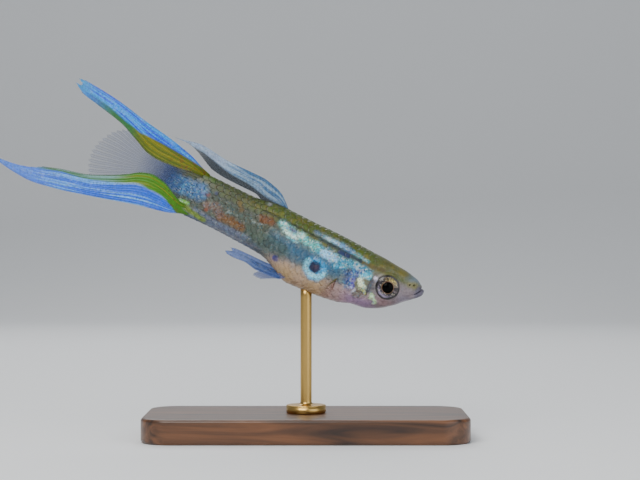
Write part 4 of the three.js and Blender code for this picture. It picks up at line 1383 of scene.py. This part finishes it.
def fins() -> list[Fin]:
    """Every fin of the fish, the median ones first and the paired ones last."""
    upper = median_fin(UPPER_LOW, UPPER_TOP, TAIL_ROOT, UPPER_ENDS, sway)
    lower = median_fin(LOWER_LOW, LOWER_TOP, TAIL_ROOT, LOWER_ENDS, sway)
    web = median_fin(lambda s: LOWER_TOP(s) - WEB_LAP, lambda s: UPPER_LOW(s) + WEB_LAP, TAIL_ROOT, FAN_ENDS,
                     sway)
    dorsal = median_fin(DORSAL_LOW, DORSAL_TOP, DORSAL_ROOT, DORSAL_ENDS, dorsal_lean)
    made = [
        Fin("upper_sword", "tail_sword_upper", "upper_sword", 11, upper, paint_upper, steps=120, root=0.06,
            shoulder=0.1),
        Fin("lower_sword", "tail_sword_lower", "lower_sword", 13, lower, paint_lower, steps=150, root=0.06,
            shoulder=0.1),
        Fin("tail_web", "tail_fin", "tail_fan", 14, web, paint_fan, steps=110, web=0.02, root=0.0,
            scallop=0.03, shoulder=0.2),
        Fin("dorsal", "dorsal_fin", "dorsal_fin", 13, dorsal, paint_dorsal, steps=110),
        Fin("gonopodium_piece", "gonopodium", "small_fin", 5, gonopodium_place, paint_small, steps=60,
            web=0.05, ray=0.07),
    ]
    for side, word in SIDES:
        made.append(Fin(f"pectoral_{word}", f"pectoral_fin_{word}", "clear_fin", 11, PECTORAL.on(side),
                        paint_pectoral, steps=50, web=0.015, ray=0.03, root=0.08, scallop=0.03))
        made.append(Fin(f"pelvic_{word}", f"pelvic_fin_{word}", "small_fin", 6, PELVIC.on(side), paint_pelvic,
                        steps=40, web=0.02, ray=0.035, scallop=0.03))
    return made


# Eyes


@dataclass
class Eye:
    """One eyeball, whose front carries the iris and the pupil's round lens.

    Attributes:
        side: 1 for the left eye and -1 for the right one.
        around: points round each ring.
        play: how much smaller the ball is than its socket's place.
        lens: radius of the lens, as a share of the ball's.
        lens_rise: how far the lens stands out.
    """

    side: int
    around: int = 96
    play: float = 0.01
    lens: float = 0.458
    lens_rise: float = 0.2

    def profile(self) -> tuple[Array, Array]:
        """Rings from the back of the ball over the iris to the middle of the lens.

        The back is a quarter ellipse, the iris rises by bulge (1 - share^2) and the lens is a low ellipse.

        Returns:
            The share of the radius and the way out of each ring.
        """
        back = np.linspace(0.08, math.pi / 2, 18)
        iris = np.concatenate([np.linspace(0.995, 0.9, 8), np.linspace(0.88, 0.47, 30)])
        lens = np.linspace(0.455, 0.01, 20)
        dome = self.lens_rise * np.sqrt(np.maximum(0, 1 - (lens / self.lens) ** 2))
        out = [-EYE.depth * np.cos(back), 0.98 * EYE.bulge * (1 - iris**2), EYE.bulge * (1 - lens**2) + dome]
        return np.concatenate([np.sin(back), iris, lens]), np.concatenate(out)

    def surface(self) -> Surface:
        """The rings, turned to look a little ahead and set into the side of the head."""
        share, out = self.profile()
        turn = np.linspace(0, 2 * math.pi, self.around, endpoint=False)
        share, out, turn = (grid.copy() for grid in np.broadcast_arrays(share[:, None], out[:, None], turn))
        a, b = share * np.cos(turn), share * np.sin(turn)
        r = EYE.radius - self.play
        seat = BODY.half_width(EYE.s, EYE.h) - EYE.sink
        c, t = math.cos(EYE.turn), math.sin(EYE.turn)
        s = EYE.s + r * a * c - out * t
        y = self.side * (seat + out * c + r * a * t)
        points, quads, triangles = capped(np.stack([s, y, EYE.h + r * b], axis=-1), flip=self.side < 0)
        front = np.append(out > -0.05, [False, True])
        tint, glitter, wet = self.iris(np.append(share, [0.0, 0.0]), np.append(turn, [0.0, 0.0]), front)
        u = np.where(front, 0.25, 0.75) + 0.23 * np.append(a, [0, 0])
        v = 0.5 + 0.46 * np.append(b, [0, 0])
        painted = {"Tint": tint, "Glitter": glitter, "Wet": wet}
        return Surface(points, quads, np.stack([u, v], axis=1), painted, triangles)

    @staticmethod
    def iris(share: Array, angle: Array, front: Array) -> tuple[Array, Array, Array]:
        """The iris with its golden ring and pale flecks, the black pupil, and the plain back of the ball.

        Args:
            share: the share of the radius.
            angle: the angle from the tail side over the top.
            front: whether a point is on the front of the ball.
        Returns:
            Colours, metal sheen and wetness.
        """
        p = np.stack([share * np.cos(angle), share * np.sin(angle), np.zeros_like(share)], axis=-1)
        fleck, cloud = lattice(p, 0.07, 71), lattice(p, 0.26, 72)
        spoke = np.stack([np.cos(angle) * 7, np.sin(angle) * 7, share * 2.5], axis=-1)
        radial = lattice(spoke, 1.0, 73)
        above, ahead, below = (bell(np.angle(np.exp(1j * (angle - middle))), width)
                               for middle, width in ((1.75, 0.62), (2.75, 0.6), (-1.2, 0.9)))
        ring = ramp(share, 0.5, 0.6) * ramp(share, 0.9, 0.8)
        gold = above * ring * (0.1 + 0.6 * ramp(radial + 0.5 * (fleck - 0.5), 0.4, 0.66))
        crescent = bell(share - 0.78 + 0.06 * (cloud - 0.5), 0.08)
        pupil = ramp(share, 0.486, 0.462)
        tint = two_tone(paint(58, 52, 56), paint(104, 96, 106), radial, 0.5, 0.8)
        layers = (
            (paint(22, 18, 20), 0.9 * ramp(cloud, 0.4, 0.66)),
            (paint(126, 116, 112), 0.7 * ahead * ramp(radial, 0.35, 0.6)),
            (paint(206, 190, 118), gold),
            (paint(170, 162, 184), 0.8 * below * crescent),
            (paint(226, 220, 204), 0.5 * ramp(fleck, 0.8, 0.92) * ramp(share, 0.9, 0.8)),
            (paint(134, 104, 52), 0.7 * bell(share - 0.5, 0.024)),
            (paint(24, 20, 22), 0.92 * ramp(share + 0.06 * (cloud - 0.5), 0.85, 0.93)),
            (colour(0, 0, 0), pupil),
            (paint(30, 26, 28), np.where(front, 0.0, 1.0)),
        )
        for over, amount in layers:
            tint = blend(tint, over, amount)
        metal = 0.2 * ramp(share, 0.47, 0.55) * ramp(share, 0.9, 0.82)
        return tint, metal, 0.42 - 0.38 * pupil


# Shader groups


Tree = bpy.types.NodeTree
Node = bpy.types.Node
Socket = bpy.types.NodeSocket

GREY_MIDDLE = (0.5, 0.5, 0.5)
PEPPER_TONE = (0.012, 0.014, 0.016, 1)


class Wiring:
    """Adds nodes to one shader tree and links them."""

    def __init__(self, tree: Tree) -> None:
        """Takes the tree that nodes are added to."""
        self.tree = tree

    def add(self, kind: str, **settings: object) -> Node:
        """A new node of a kind, with its settings."""
        node = self.tree.nodes.new(kind)
        for name, value in settings.items():
            setattr(node, name, value)
        return node

    def link(self, source: Socket, target: Socket) -> None:
        """Links a socket to another."""
        self.tree.links.new(source, target)

    def place(self) -> Socket:
        """Object coordinates, in metres."""
        return self.add("ShaderNodeTexCoord").outputs["Object"]

    def noise(self, vector: Socket, scale: float | Socket, **values: float) -> Socket:
        """Noise at a scale, with other inputs by name."""
        node = self.add("ShaderNodeTexNoise")
        self.link(vector, node.inputs["Vector"])
        if isinstance(scale, (int, float)):
            node.inputs["Scale"].default_value = scale
        else:
            self.link(scale, node.inputs["Scale"])
        for name, value in values.items():
            node.inputs[name].default_value = value
        return node.outputs["Fac"]

    def span(self, value: Socket, given: Span, wanted: Span) -> Socket:
        """A value stretched from one span to another, clamped."""
        node = self.add("ShaderNodeMapRange")
        node.inputs["From Min"].default_value, node.inputs["From Max"].default_value = given
        node.inputs["To Min"].default_value, node.inputs["To Max"].default_value = wanted
        self.link(value, node.inputs["Value"])
        return node.outputs["Result"]

    def times(self, one: Socket, two: Socket | float) -> Socket:
        """The product of a value with another or with a number."""
        node = self.add("ShaderNodeMath", operation="MULTIPLY")
        self.link(one, node.inputs[0])
        if isinstance(two, float):
            node.inputs[1].default_value = two
        else:
            self.link(two, node.inputs[1])
        return node.outputs["Value"]

    def mixed(self, share: Socket | float, under: Socket, over: Socket | None, kind: str = "MIX") -> Socket:
        """One colour laid over another by a share; with none to lay over it, the first one darkens."""
        node = self.add("ShaderNodeMix", data_type="RGBA", blend_type=kind)
        if isinstance(share, float):
            node.inputs["Factor"].default_value = share
        else:
            self.link(share, node.inputs["Factor"])
        first, second = (next(i for i in node.inputs if i.name == name and i.type == "RGBA") for name in "AB")
        self.link(under, first)
        if over is None:
            second.default_value = PEPPER_TONE
        else:
            self.link(over, second)
        return next(o for o in node.outputs if o.type == "RGBA")

    def tones(self, value: Socket, stops: Sequence[tuple[float, Sequence[float]]]) -> Socket:
        """A colour from a value, through (place, colour) stops of which the first two are the ends."""
        node = self.add("ShaderNodeValToRGB")
        ends = node.color_ramp.elements
        for element, (at, tone) in zip(ends, stops):
            element.position = at
            element.color = (*tone, 1)
        for at, tone in stops[2:]:
            ends.new(at).color = (*tone, 1)
        self.link(value, node.inputs["Fac"])
        return node.outputs["Color"]

    def vector(self, operation: str, one: Socket, two: Socket | tuple | None = None) -> Socket:
        """Vector arithmetic with one or two inputs."""
        node = self.add("ShaderNodeVectorMath", operation=operation)
        self.link(one, node.inputs[0])
        if isinstance(two, tuple):
            node.inputs[1].default_value = two
        elif two is not None:
            self.link(two, node.inputs["Scale"] if operation == "SCALE" else node.inputs[1])
        return node.outputs["Vector"]

    def attribute(self, name: str, output: str = "Fac") -> Socket:
        """A value painted on the mesh."""
        return self.add("ShaderNodeAttribute", attribute_name=name).outputs[output]


@dataclass(frozen=True)
class Flecks:
    """Shiny flecks and dark dots: cells with a random value each, of which those over a limit shine.

    Attributes:
        cells, clouds, dots: scales of the cells, of the clouds that gather them, and of the dark dots.
        limit: the cell's value at which it starts to shine and shines in full.
        clumps, clump_share: span of the clouds, and how far they dim the flecks.
        pepper, pepper_share: span of the dots, and how dark they are.
        freckled, freckle_share: span of the glitter, and how strong the dots are over it.
        own: how far a fleck has its own hue.
        hues: (place, colour) of the flecks' hues, ends first.
    """

    cells: float = 5600
    clouds: float = 1700
    dots: float = 6000
    limit: Span = (0.3, 0.72)
    clumps: Span = (0.38, 0.6)
    clump_share: Span = (0.45, 1.0)
    pepper: Span = (0.49, 0.65)
    pepper_share: Span = (0.0, 0.66)
    freckled: Span = (0.0, 0.35)
    freckle_share: Span = (0.25, 1.0)
    own: float = 0.68
    hues: tuple = ((0.0, (70, 160, 224)), (1.0, (196, 180, 232)), (0.3, (130, 222, 226)),
                   (0.5, (226, 250, 236)), (0.7, (250, 250, 250)), (0.85, (232, 232, 186)))

    def group(self) -> Tree:
        """The shader group, from Tint and Glitter to Color, Mask and Normal.

        The mask is the cell's value over the limit, times clouds of noise and the glitter that is handed in.
        A second value gives each fleck its hue, and the cell's colour tilts its normal by the mask, so that
        each one catches the light for itself.
        """
        tree = empty_group("Flecks", {"Tint": "Color", "Glitter": "Float"},
                           {"Color": "Color", "Mask": "Float", "Normal": "Vector"})
        wiring = Wiring(tree)
        given, result = wiring.add("NodeGroupInput").outputs, wiring.add("NodeGroupOutput").inputs
        place = wiring.place()
        cells = wiring.add("ShaderNodeTexVoronoi")
        cells.inputs["Scale"].default_value = self.cells
        wiring.link(place, cells.inputs["Vector"])
        parts = wiring.add("ShaderNodeSeparateColor")
        wiring.link(cells.outputs["Color"], parts.inputs["Color"])

        over = wiring.span(parts.outputs["Red"], self.limit, (0.0, 1.0))
        clumps = wiring.span(wiring.noise(place, self.clouds), self.clumps, self.clump_share)
        mask = wiring.times(wiring.times(over, clumps), given["Glitter"])
        hue = wiring.tones(parts.outputs["Green"], [(at, colour(*tone)) for at, tone in self.hues])
        pepper = wiring.span(wiring.noise(place, self.dots), self.pepper, self.pepper_share)
        freckled = wiring.span(given["Glitter"], self.freckled, self.freckle_share)
        dark = wiring.mixed(wiring.times(pepper, freckled), given["Tint"], None)
        wiring.link(wiring.mixed(mask, dark, wiring.mixed(self.own, dark, hue)), result["Color"])
        wiring.link(mask, result["Mask"])

        lean = wiring.vector("SUBTRACT", cells.outputs["Color"], GREY_MIDDLE)
        tilt = wiring.vector("SCALE", lean, mask)
        face = wiring.add("ShaderNodeNewGeometry")
        total = wiring.vector("ADD", face.outputs["Normal"], tilt)
        wiring.link(wiring.vector("NORMALIZE", total), result["Normal"])
        return tree


def empty_group(name: str, inputs: dict[str, str], outputs: dict[str, str]) -> Tree:
    """A shader group with sockets by name and kind, such as Float or Color."""
    tree = bpy.data.node_groups.new(name, "ShaderNodeTree")
    for side, sockets in (("INPUT", inputs), ("OUTPUT", outputs)):
        for label, kind in sockets.items():
            tree.interface.new_socket(name=label, in_out=side, socket_type=f"NodeSocket{kind}")
    return tree


def grain_group() -> Tree:
    """Fine pebbling: noise over object coordinates in metres, at the scale that is handed in."""
    tree = empty_group("Grain", {"Scale": "Float"}, {"Value": "Float"})
    wiring = Wiring(tree)
    given, result = wiring.add("NodeGroupInput").outputs, wiring.add("NodeGroupOutput").inputs
    wiring.link(wiring.noise(wiring.place(), given["Scale"], Detail=4), result["Value"])
    return tree


class Groups:
    """The shader groups that materials share, each made once."""

    def __init__(self) -> None:
        """Makes both groups."""
        self.grain = grain_group()
        self.flecks = Flecks().group()


# Finishes


class Finish(Wiring):
    """A new material: its principled shader, and the ways in which finishes dress it."""

    def __init__(self, name: str, groups: Groups, **values: object) -> None:
        """Starts the material and sets the shader's inputs, named with underscores for spaces."""
        self.material = bpy.data.materials.new(name)
        self.material.use_nodes = True
        super().__init__(self.material.node_tree)
        self.groups = groups
        self.inputs = self.tree.nodes["Principled BSDF"].inputs
        for label, value in values.items():
            self.inputs[label.replace("_", " ")].default_value = value

    def grain(self, scale: float) -> Socket:
        """The shared pebbling at a scale."""
        node = self.add("ShaderNodeGroup", node_tree=self.groups.grain)
        node.inputs["Scale"].default_value = scale
        return node.outputs["Value"]

    def flecks(self) -> dict[str, Socket]:
        """The shared flecks over the painted colour and glitter."""
        node = self.add("ShaderNodeGroup", node_tree=self.groups.flecks)
        self.link(self.attribute("Tint", "Color"), node.inputs["Tint"])
        self.link(self.attribute("Glitter"), node.inputs["Glitter"])
        return node.outputs

    def bump(self, height: Socket, strength: float, depth: float) -> Node:
        """Puts a relief of a depth, in metres, into the shader's normal, and returns its node."""
        node = self.add("ShaderNodeBump")
        node.inputs["Strength"].default_value = strength
        node.inputs["Distance"].default_value = depth
        self.link(height, node.inputs["Height"])
        self.link(node.outputs["Normal"], self.inputs["Normal"])
        return node


@dataclass(frozen=True)
class Flesh:
    """Skin or scales: painted colour, flecks that shine, fine pebbling and a wet coat.

    Attributes:
        metal: how far a full fleck is metallic.
        grain, grain_strength, grain_depth: scale, strength and depth in metres of the pebbling.
    """

    name: str
    roughness: float
    coat: float
    specular: float = 0.35
    coat_roughness: float = 0.2
    metal: float = 0.6
    grain: float = 9000
    grain_strength: float = 0.6
    grain_depth: float = 2.0e-5

    def material(self, groups: Groups) -> Material:
        """Makes the material."""
        finish = Finish(self.name, groups, Roughness=self.roughness, Specular_IOR_Level=self.specular,
                        Coat_Weight=self.coat, Coat_Roughness=self.coat_roughness)
        flecks = finish.flecks()
        finish.link(flecks["Color"], finish.inputs["Base Color"])
        finish.link(finish.times(flecks["Mask"], self.metal), finish.inputs["Metallic"])
        bump = finish.bump(finish.grain(self.grain), self.grain_strength, self.grain_depth)
        finish.link(flecks["Normal"], bump.inputs["Normal"])
        return finish.material


@dataclass(frozen=True)
class Web:
    """Fin web: painted colour under a fine grain, and painted cover, which lets what is behind show through.

    Attributes:
        grain, grain_share: scale of the grain, and how far it dims and lights the colour.
        tones: (place, colour) between which it does so.
    """

    name: str
    roughness: float = 0.4
    specular: float = 0.3
    coat: float = 0.12
    coat_roughness: float = 0.2
    grain: float = 4200
    grain_share: float = 0.35
    tones: tuple = ((0.3, (0.45,) * 3), (0.75, (1.25,) * 3))

    def material(self, groups: Groups) -> Material:
        """Makes the material."""
        finish = Finish(self.name, groups, Roughness=self.roughness, Specular_IOR_Level=self.specular,
                        Coat_Weight=self.coat, Coat_Roughness=self.coat_roughness)
        tone = finish.tones(finish.grain(self.grain), self.tones)
        shade = finish.mixed(self.grain_share, finish.flecks()["Color"], tone, "MULTIPLY")
        finish.link(shade, finish.inputs["Base Color"])
        finish.link(finish.attribute("Cover"), finish.inputs["Alpha"])
        return finish.material


@dataclass(frozen=True)
class EyeGloss:
    """The wet, mirror-smooth eye, with painted colour, metal sheen and wetness."""

    name: str = "eye_wet"
    roughness: float = 0.28
    coat_roughness: float = 0.03

    def material(self, groups: Groups) -> Material:
        """Makes the material."""
        finish = Finish(self.name, groups, Roughness=self.roughness, Coat_Roughness=self.coat_roughness)
        finish.link(finish.attribute("Tint", "Color"), finish.inputs["Base Color"])
        finish.link(finish.attribute("Glitter"), finish.inputs["Metallic"])
        wet = finish.attribute("Wet")
        finish.link(wet, finish.inputs["Coat Weight"])
        finish.link(wet, finish.inputs["Specular IOR Level"])
        return finish.material


@dataclass(frozen=True)
class Walnut:
    """Dark oiled walnut: noise drawn out along X, with fine pores.

    Attributes:
        stretch: scale of the noise along each axis.
        tones: (place, colour) of the dark and the pale wood.
        pores, pore_depth: strength and depth in metres of the relief.
    """

    name: str = "walnut"
    roughness: float = 0.38
    coat: float = 0.2
    stretch: tuple[float, float, float] = (60, 900, 700)
    detail: float = 6
    distortion: float = 1.2
    tones: tuple = ((0.32, (38, 22, 12)), (0.7, (116, 74, 44)))
    pores: float = 0.35
    pore_depth: float = 4e-5

    def material(self, groups: Groups) -> Material:
        """Makes the material."""
        finish = Finish(self.name, groups, Roughness=self.roughness, Coat_Weight=self.coat)
        stretch = finish.add("ShaderNodeMapping")
        stretch.inputs["Scale"].default_value = self.stretch
        finish.link(finish.place(), stretch.inputs["Vector"])
        noise = finish.noise(stretch.outputs["Vector"], 1.0, Detail=self.detail, Distortion=self.distortion)
        tone = finish.tones(noise, [(at, colour(*tone)) for at, tone in self.tones])
        finish.link(tone, finish.inputs["Base Color"])
        finish.bump(noise, self.pores, self.pore_depth)
        return finish.material


@dataclass(frozen=True)
class Brass:
    """Satin brass rod with a fine grain, its depth in metres."""

    name: str = "brass_satin"
    tone: tuple[int, int, int] = (196, 160, 92)
    roughness: float = 0.3
    grain: float = 5000
    grain_strength: float = 0.6
    grain_depth: float = 8e-6

    def material(self, groups: Groups) -> Material:
        """Makes the material."""
        finish = Finish(self.name, groups, Base_Color=(*colour(*self.tone), 1), Metallic=1.0,
                        Roughness=self.roughness)
        finish.bump(finish.grain(self.grain), self.grain_strength, self.grain_depth)
        return finish.material


@dataclass(frozen=True)
class Paper:
    """The plain pale floor and backdrop."""

    name: str = "floor_paper"
    tone: tuple[int, int, int] = (238, 240, 242)
    roughness: float = 0.85

    def material(self, groups: Groups) -> Material:
        """Makes the material."""
        base = (*colour(*self.tone), 1)
        return Finish(self.name, groups, Base_Color=base, Roughness=self.roughness).material


# Stand


@dataclass
class Stand:
    """The display stand: a flat base with rounded edges and one rod up to the belly. Lengths in millimetres.

    Attributes:
        corner, edge: radii of the base's corners, seen from above, and of its edges.
        inner: how far in the last ring of each flat face lies.
        foot, foot_height, foot_edge: radius, height and edge radius of the rod's foot.
        foot_chamfer: of the foot's lower edge.
        rod, rod_top, rod_rings: radius, height of the top and rings of the rod, which ends inside the belly.
        fillet: radius between foot and rod.
        around: points round the rod.
        map_length, map_width, map_height: sizes that fill the unwraps.
    """

    length: float = 34
    width: float = 16
    height: float = 2.6
    corner: float = 3.2
    edge: float = 0.35
    inner: float = 2.4
    foot: float = 2.1
    foot_height: float = 0.85
    foot_edge: float = 0.12
    foot_chamfer: float = 0.1
    rod: float = 0.6
    rod_top: float = 16.0
    rod_rings: int = 12
    fillet: float = 0.35
    around: int = 48
    map_length: float = 40
    map_width: float = 50
    map_height: float = 17

    def base(self) -> Surface:
        """Rings of a rounded oblong, let in by a quarter circle at the top and bottom edges."""
        arc = np.linspace(0, math.pi / 2, 9)
        low = [(self.edge * (1 - math.sin(t)), self.edge * (1 - math.cos(t))) for t in arc]
        high = [(inset, self.height - z) for inset, z in reversed(low)]
        profile = [(self.inner, 0.0), *low, *high, (self.inner, self.height)]
        points, quads, triangles = capped(np.stack([self.oblong(*ring) for ring in profile]), flip=True)
        upper = 0.5 * (points[:, 2] > self.height / 2)
        u = 0.5 + points[:, 0] / self.map_length
        v = 0.25 + points[:, 1] / self.map_width + upper
        uv = np.stack([u, v], axis=1)
        return Surface(points, quads, uv, {}, triangles)

    def oblong(self, inset: float, z: float) -> Array:
        """One ring: four quarter circles joined by straight sides.

        Args:
            inset: how far the ring is let in.
            z: its height.
        Returns:
            (n, 3) places.
        """
        x, y, r = self.length / 2 - self.corner, self.width / 2 - self.corner, self.corner - inset
        turn = np.linspace(0, math.pi / 2, 17)
        corners = []
        for k, (along_x, along_y) in enumerate(((1, 1), (-1, 1), (-1, -1), (1, -1))):
            a = turn + k * math.pi / 2
            corners.append(np.stack([along_x * x + r * np.cos(a), along_y * y + r * np.sin(a)], axis=1))
        flat = np.concatenate(corners)
        return np.concatenate([flat, np.full((len(flat), 1), z)], axis=1)

    def post(self) -> Surface:
        """The rod with its turned foot, as rings of a profile carried round Z."""
        arc = np.linspace(0, math.pi / 2, 8)
        top = self.height + self.foot_height
        profile = [(self.foot - self.foot_chamfer, self.height), (self.foot, self.height + self.foot_chamfer),
                   (self.foot, top - self.foot_edge)]
        edge, fillet = self.foot_edge, self.fillet
        profile += [(self.foot - edge * (1 - math.cos(t)), top - edge * (1 - math.sin(t))) for t in arc]
        profile += [(self.rod + fillet * (1 - math.sin(t)), top + fillet * (1 - math.cos(t))) for t in arc]
        profile += [(self.rod, z) for z in np.linspace(top + fillet + 0.2, self.rod_top, self.rod_rings)]
        turn = np.linspace(0, 2 * math.pi, self.around, endpoint=False)
        r, h = (np.array(column)[:, None] for column in zip(*profile))
        rings = np.stack([r * np.cos(turn), r * np.sin(turn), h + 0 * turn], axis=-1)
        points, quads, triangles = capped(rings, flip=True)
        turned = np.concatenate([np.tile(np.abs(turn / math.pi - 1), len(profile)), [0.5, 0.5]])
        uv = 0.02 + 0.96 * np.stack([turned, points[:, 2] / self.map_height], axis=1)
        return Surface(points, quads, uv, {}, triangles)


# Studio


@dataclass(frozen=True)
class Lamp:
    """A square soft lamp that points at the fish. Its place and size are in millimetres."""

    name: str
    at: tuple[float, float, float]
    size: float
    watts: float
    tint: tuple[float, float, float]
    aim: tuple[float, float, float] = (-4.0, 0.0, 21.0)

    def build(self) -> None:
        """Puts the lamp into the scene."""
        data = bpy.data.lights.new(self.name, "AREA")
        data.size = self.size * MM
        data.energy = self.watts
        data.color = self.tint
        obj = bpy.data.objects.new(self.name, data)
        obj.location = [c * MM for c in self.at]
        toward = Vector(np.array(self.aim) - np.array(self.at, float))
        obj.rotation_euler = toward.to_track_quat("-Z", "Y").to_euler()
        bpy.context.scene.collection.objects.link(obj)


@dataclass(frozen=True)
class Studio:
    """Floor, backdrop, lamps and camera. Lengths in millimetres.

    Attributes:
        picture: the picture's width and height in pixels.
        snout_pixel: where the snout stands in the picture.
        scale: millimetres for each pixel, at the fish's middle plane.
        distance: from the camera to that plane.
        sensor: width of the camera's sensor.
        reach: how far the camera sees, in metres.
        floor_half, floor_front: half the floor's width, and its front edge.
        behind, bend, backdrop: where the floor starts to bend up, the bend's radius and the top's height.
        sky, sky_strength: colour and strength of the light from all sides.
    """

    picture: tuple[int, int] = (640, 480)
    snout_pixel: tuple[float, float] = (422.5, 290.0)
    scale: float = 0.10569
    distance: float = 188.0
    sensor: float = 36
    reach: Span = (0.01, 10)
    floor_half: float = 900
    floor_front: float = -700
    behind: float = 260.0
    bend: float = 160.0
    backdrop: float = 900
    sky: tuple[float, float, float] = (0.86, 0.9, 0.96)
    sky_strength: float = 0.3
    lamps: tuple = (
        Lamp("key", (-90, -190, 210), 190, 0.8, (1.0, 0.98, 0.94)),
        Lamp("fill", (190, -170, 90), 240, 0.32, (0.9, 0.95, 1.0)),
        Lamp("rim", (-30, 190, 200), 180, 0.3, (1.0, 1.0, 1.0)),
    )

    def build(self, groups: Groups) -> None:
        """Makes everything around the fish."""
        self.sweep(groups)
        for lamp in self.lamps:
            lamp.build()
        world = bpy.data.worlds.new("studio")
        bpy.context.scene.world = world
        world.use_nodes = True
        background = world.node_tree.nodes["Background"]
        background.inputs["Color"].default_value = (*self.sky, 1)
        background.inputs["Strength"].default_value = self.sky_strength
        self.camera()

    def sweep(self, groups: Groups) -> None:
        """A floor that curves up by a quarter circle into the backdrop."""
        across = np.linspace(-self.floor_half, self.floor_half, 3)
        turn = np.linspace(0, math.pi / 2, 24)
        end = self.behind + self.bend
        y = np.concatenate([[self.floor_front, 0], self.behind + self.bend * np.sin(turn), [end]])
        z = np.concatenate([[0, 0], self.bend * (1 - np.cos(turn)), [self.backdrop]])
        grid_x, grid_y = np.meshgrid(across, y, indexing="ij")
        points = np.stack([grid_x, grid_y, np.broadcast_to(z, grid_x.shape)], axis=-1).reshape(-1, 3)
        i, j = np.meshgrid(np.arange(len(across) - 1), np.arange(len(y) - 1), indexing="ij")
        a = i * len(y) + j
        quads = np.stack([a, a + len(y), a + len(y) + 1, a + 1], axis=-1).reshape(-1, 4)
        data = bpy.data.meshes.new("sweep")
        data.from_pydata((points * MM).tolist(), [], quads.tolist())
        data.polygons.foreach_set("use_smooth", np.ones(len(quads), bool))
        data.materials.append(Paper().material(groups))
        obj = bpy.data.objects.new("sweep", data)
        bpy.context.scene.collection.objects.link(obj)

    def camera(self) -> None:
        """Looks level along +Y, so that the snout stands at its place in the picture."""
        data = bpy.data.cameras.new("camera")
        data.sensor_width = self.sensor
        data.lens = self.sensor * self.distance / (self.picture[0] * self.scale)
        data.clip_start, data.clip_end = self.reach
        obj = bpy.data.objects.new("camera", data)
        x = SNOUT_AT[0] - (self.snout_pixel[0] - self.picture[0] / 2) * self.scale
        z = SNOUT_AT[1] + (self.snout_pixel[1] - self.picture[1] / 2) * self.scale
        obj.location = (x * MM, -self.distance * MM, z * MM)
        obj.rotation_euler = (math.pi / 2, 0, 0)
        bpy.context.scene.collection.objects.link(obj)
        bpy.context.scene.camera = obj


# The whole scene


def main() -> None:
    """Builds the fish, its stand and the studio."""
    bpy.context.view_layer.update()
    groups = Groups()
    skin = Skin().surface().mesh("skin", Flesh("fish_skin", 0.45, 0.2).material(groups))
    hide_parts("head", "gill_cover_right", "gill_cover_left", "trunk", "tail_stalk")
    scales = Scales().surface().mesh("scales", Flesh("fish_scales", 0.42, 0.22).material(groups))
    wet = EyeGloss().material(groups)
    for side, word in SIDES:
        eye = Eye(side).surface().mesh(f"eyeball_{word}", wet)
        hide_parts(f"eye_{word}")
    for fin in fins():
        piece = fin.surface().mesh(fin.name, Web(f"{fin.name}_web").material(groups))
        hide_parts(fin.node)
    stand = Stand()
    base = stand.base().mesh("base", Walnut().material(groups), in_fish=False)
    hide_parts("stand_base")
    post = stand.post().mesh("post", Brass().material(groups), in_fish=False)
    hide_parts("stand_rod")
    Studio().build(groups)


if __name__ == "__main__":
    main()
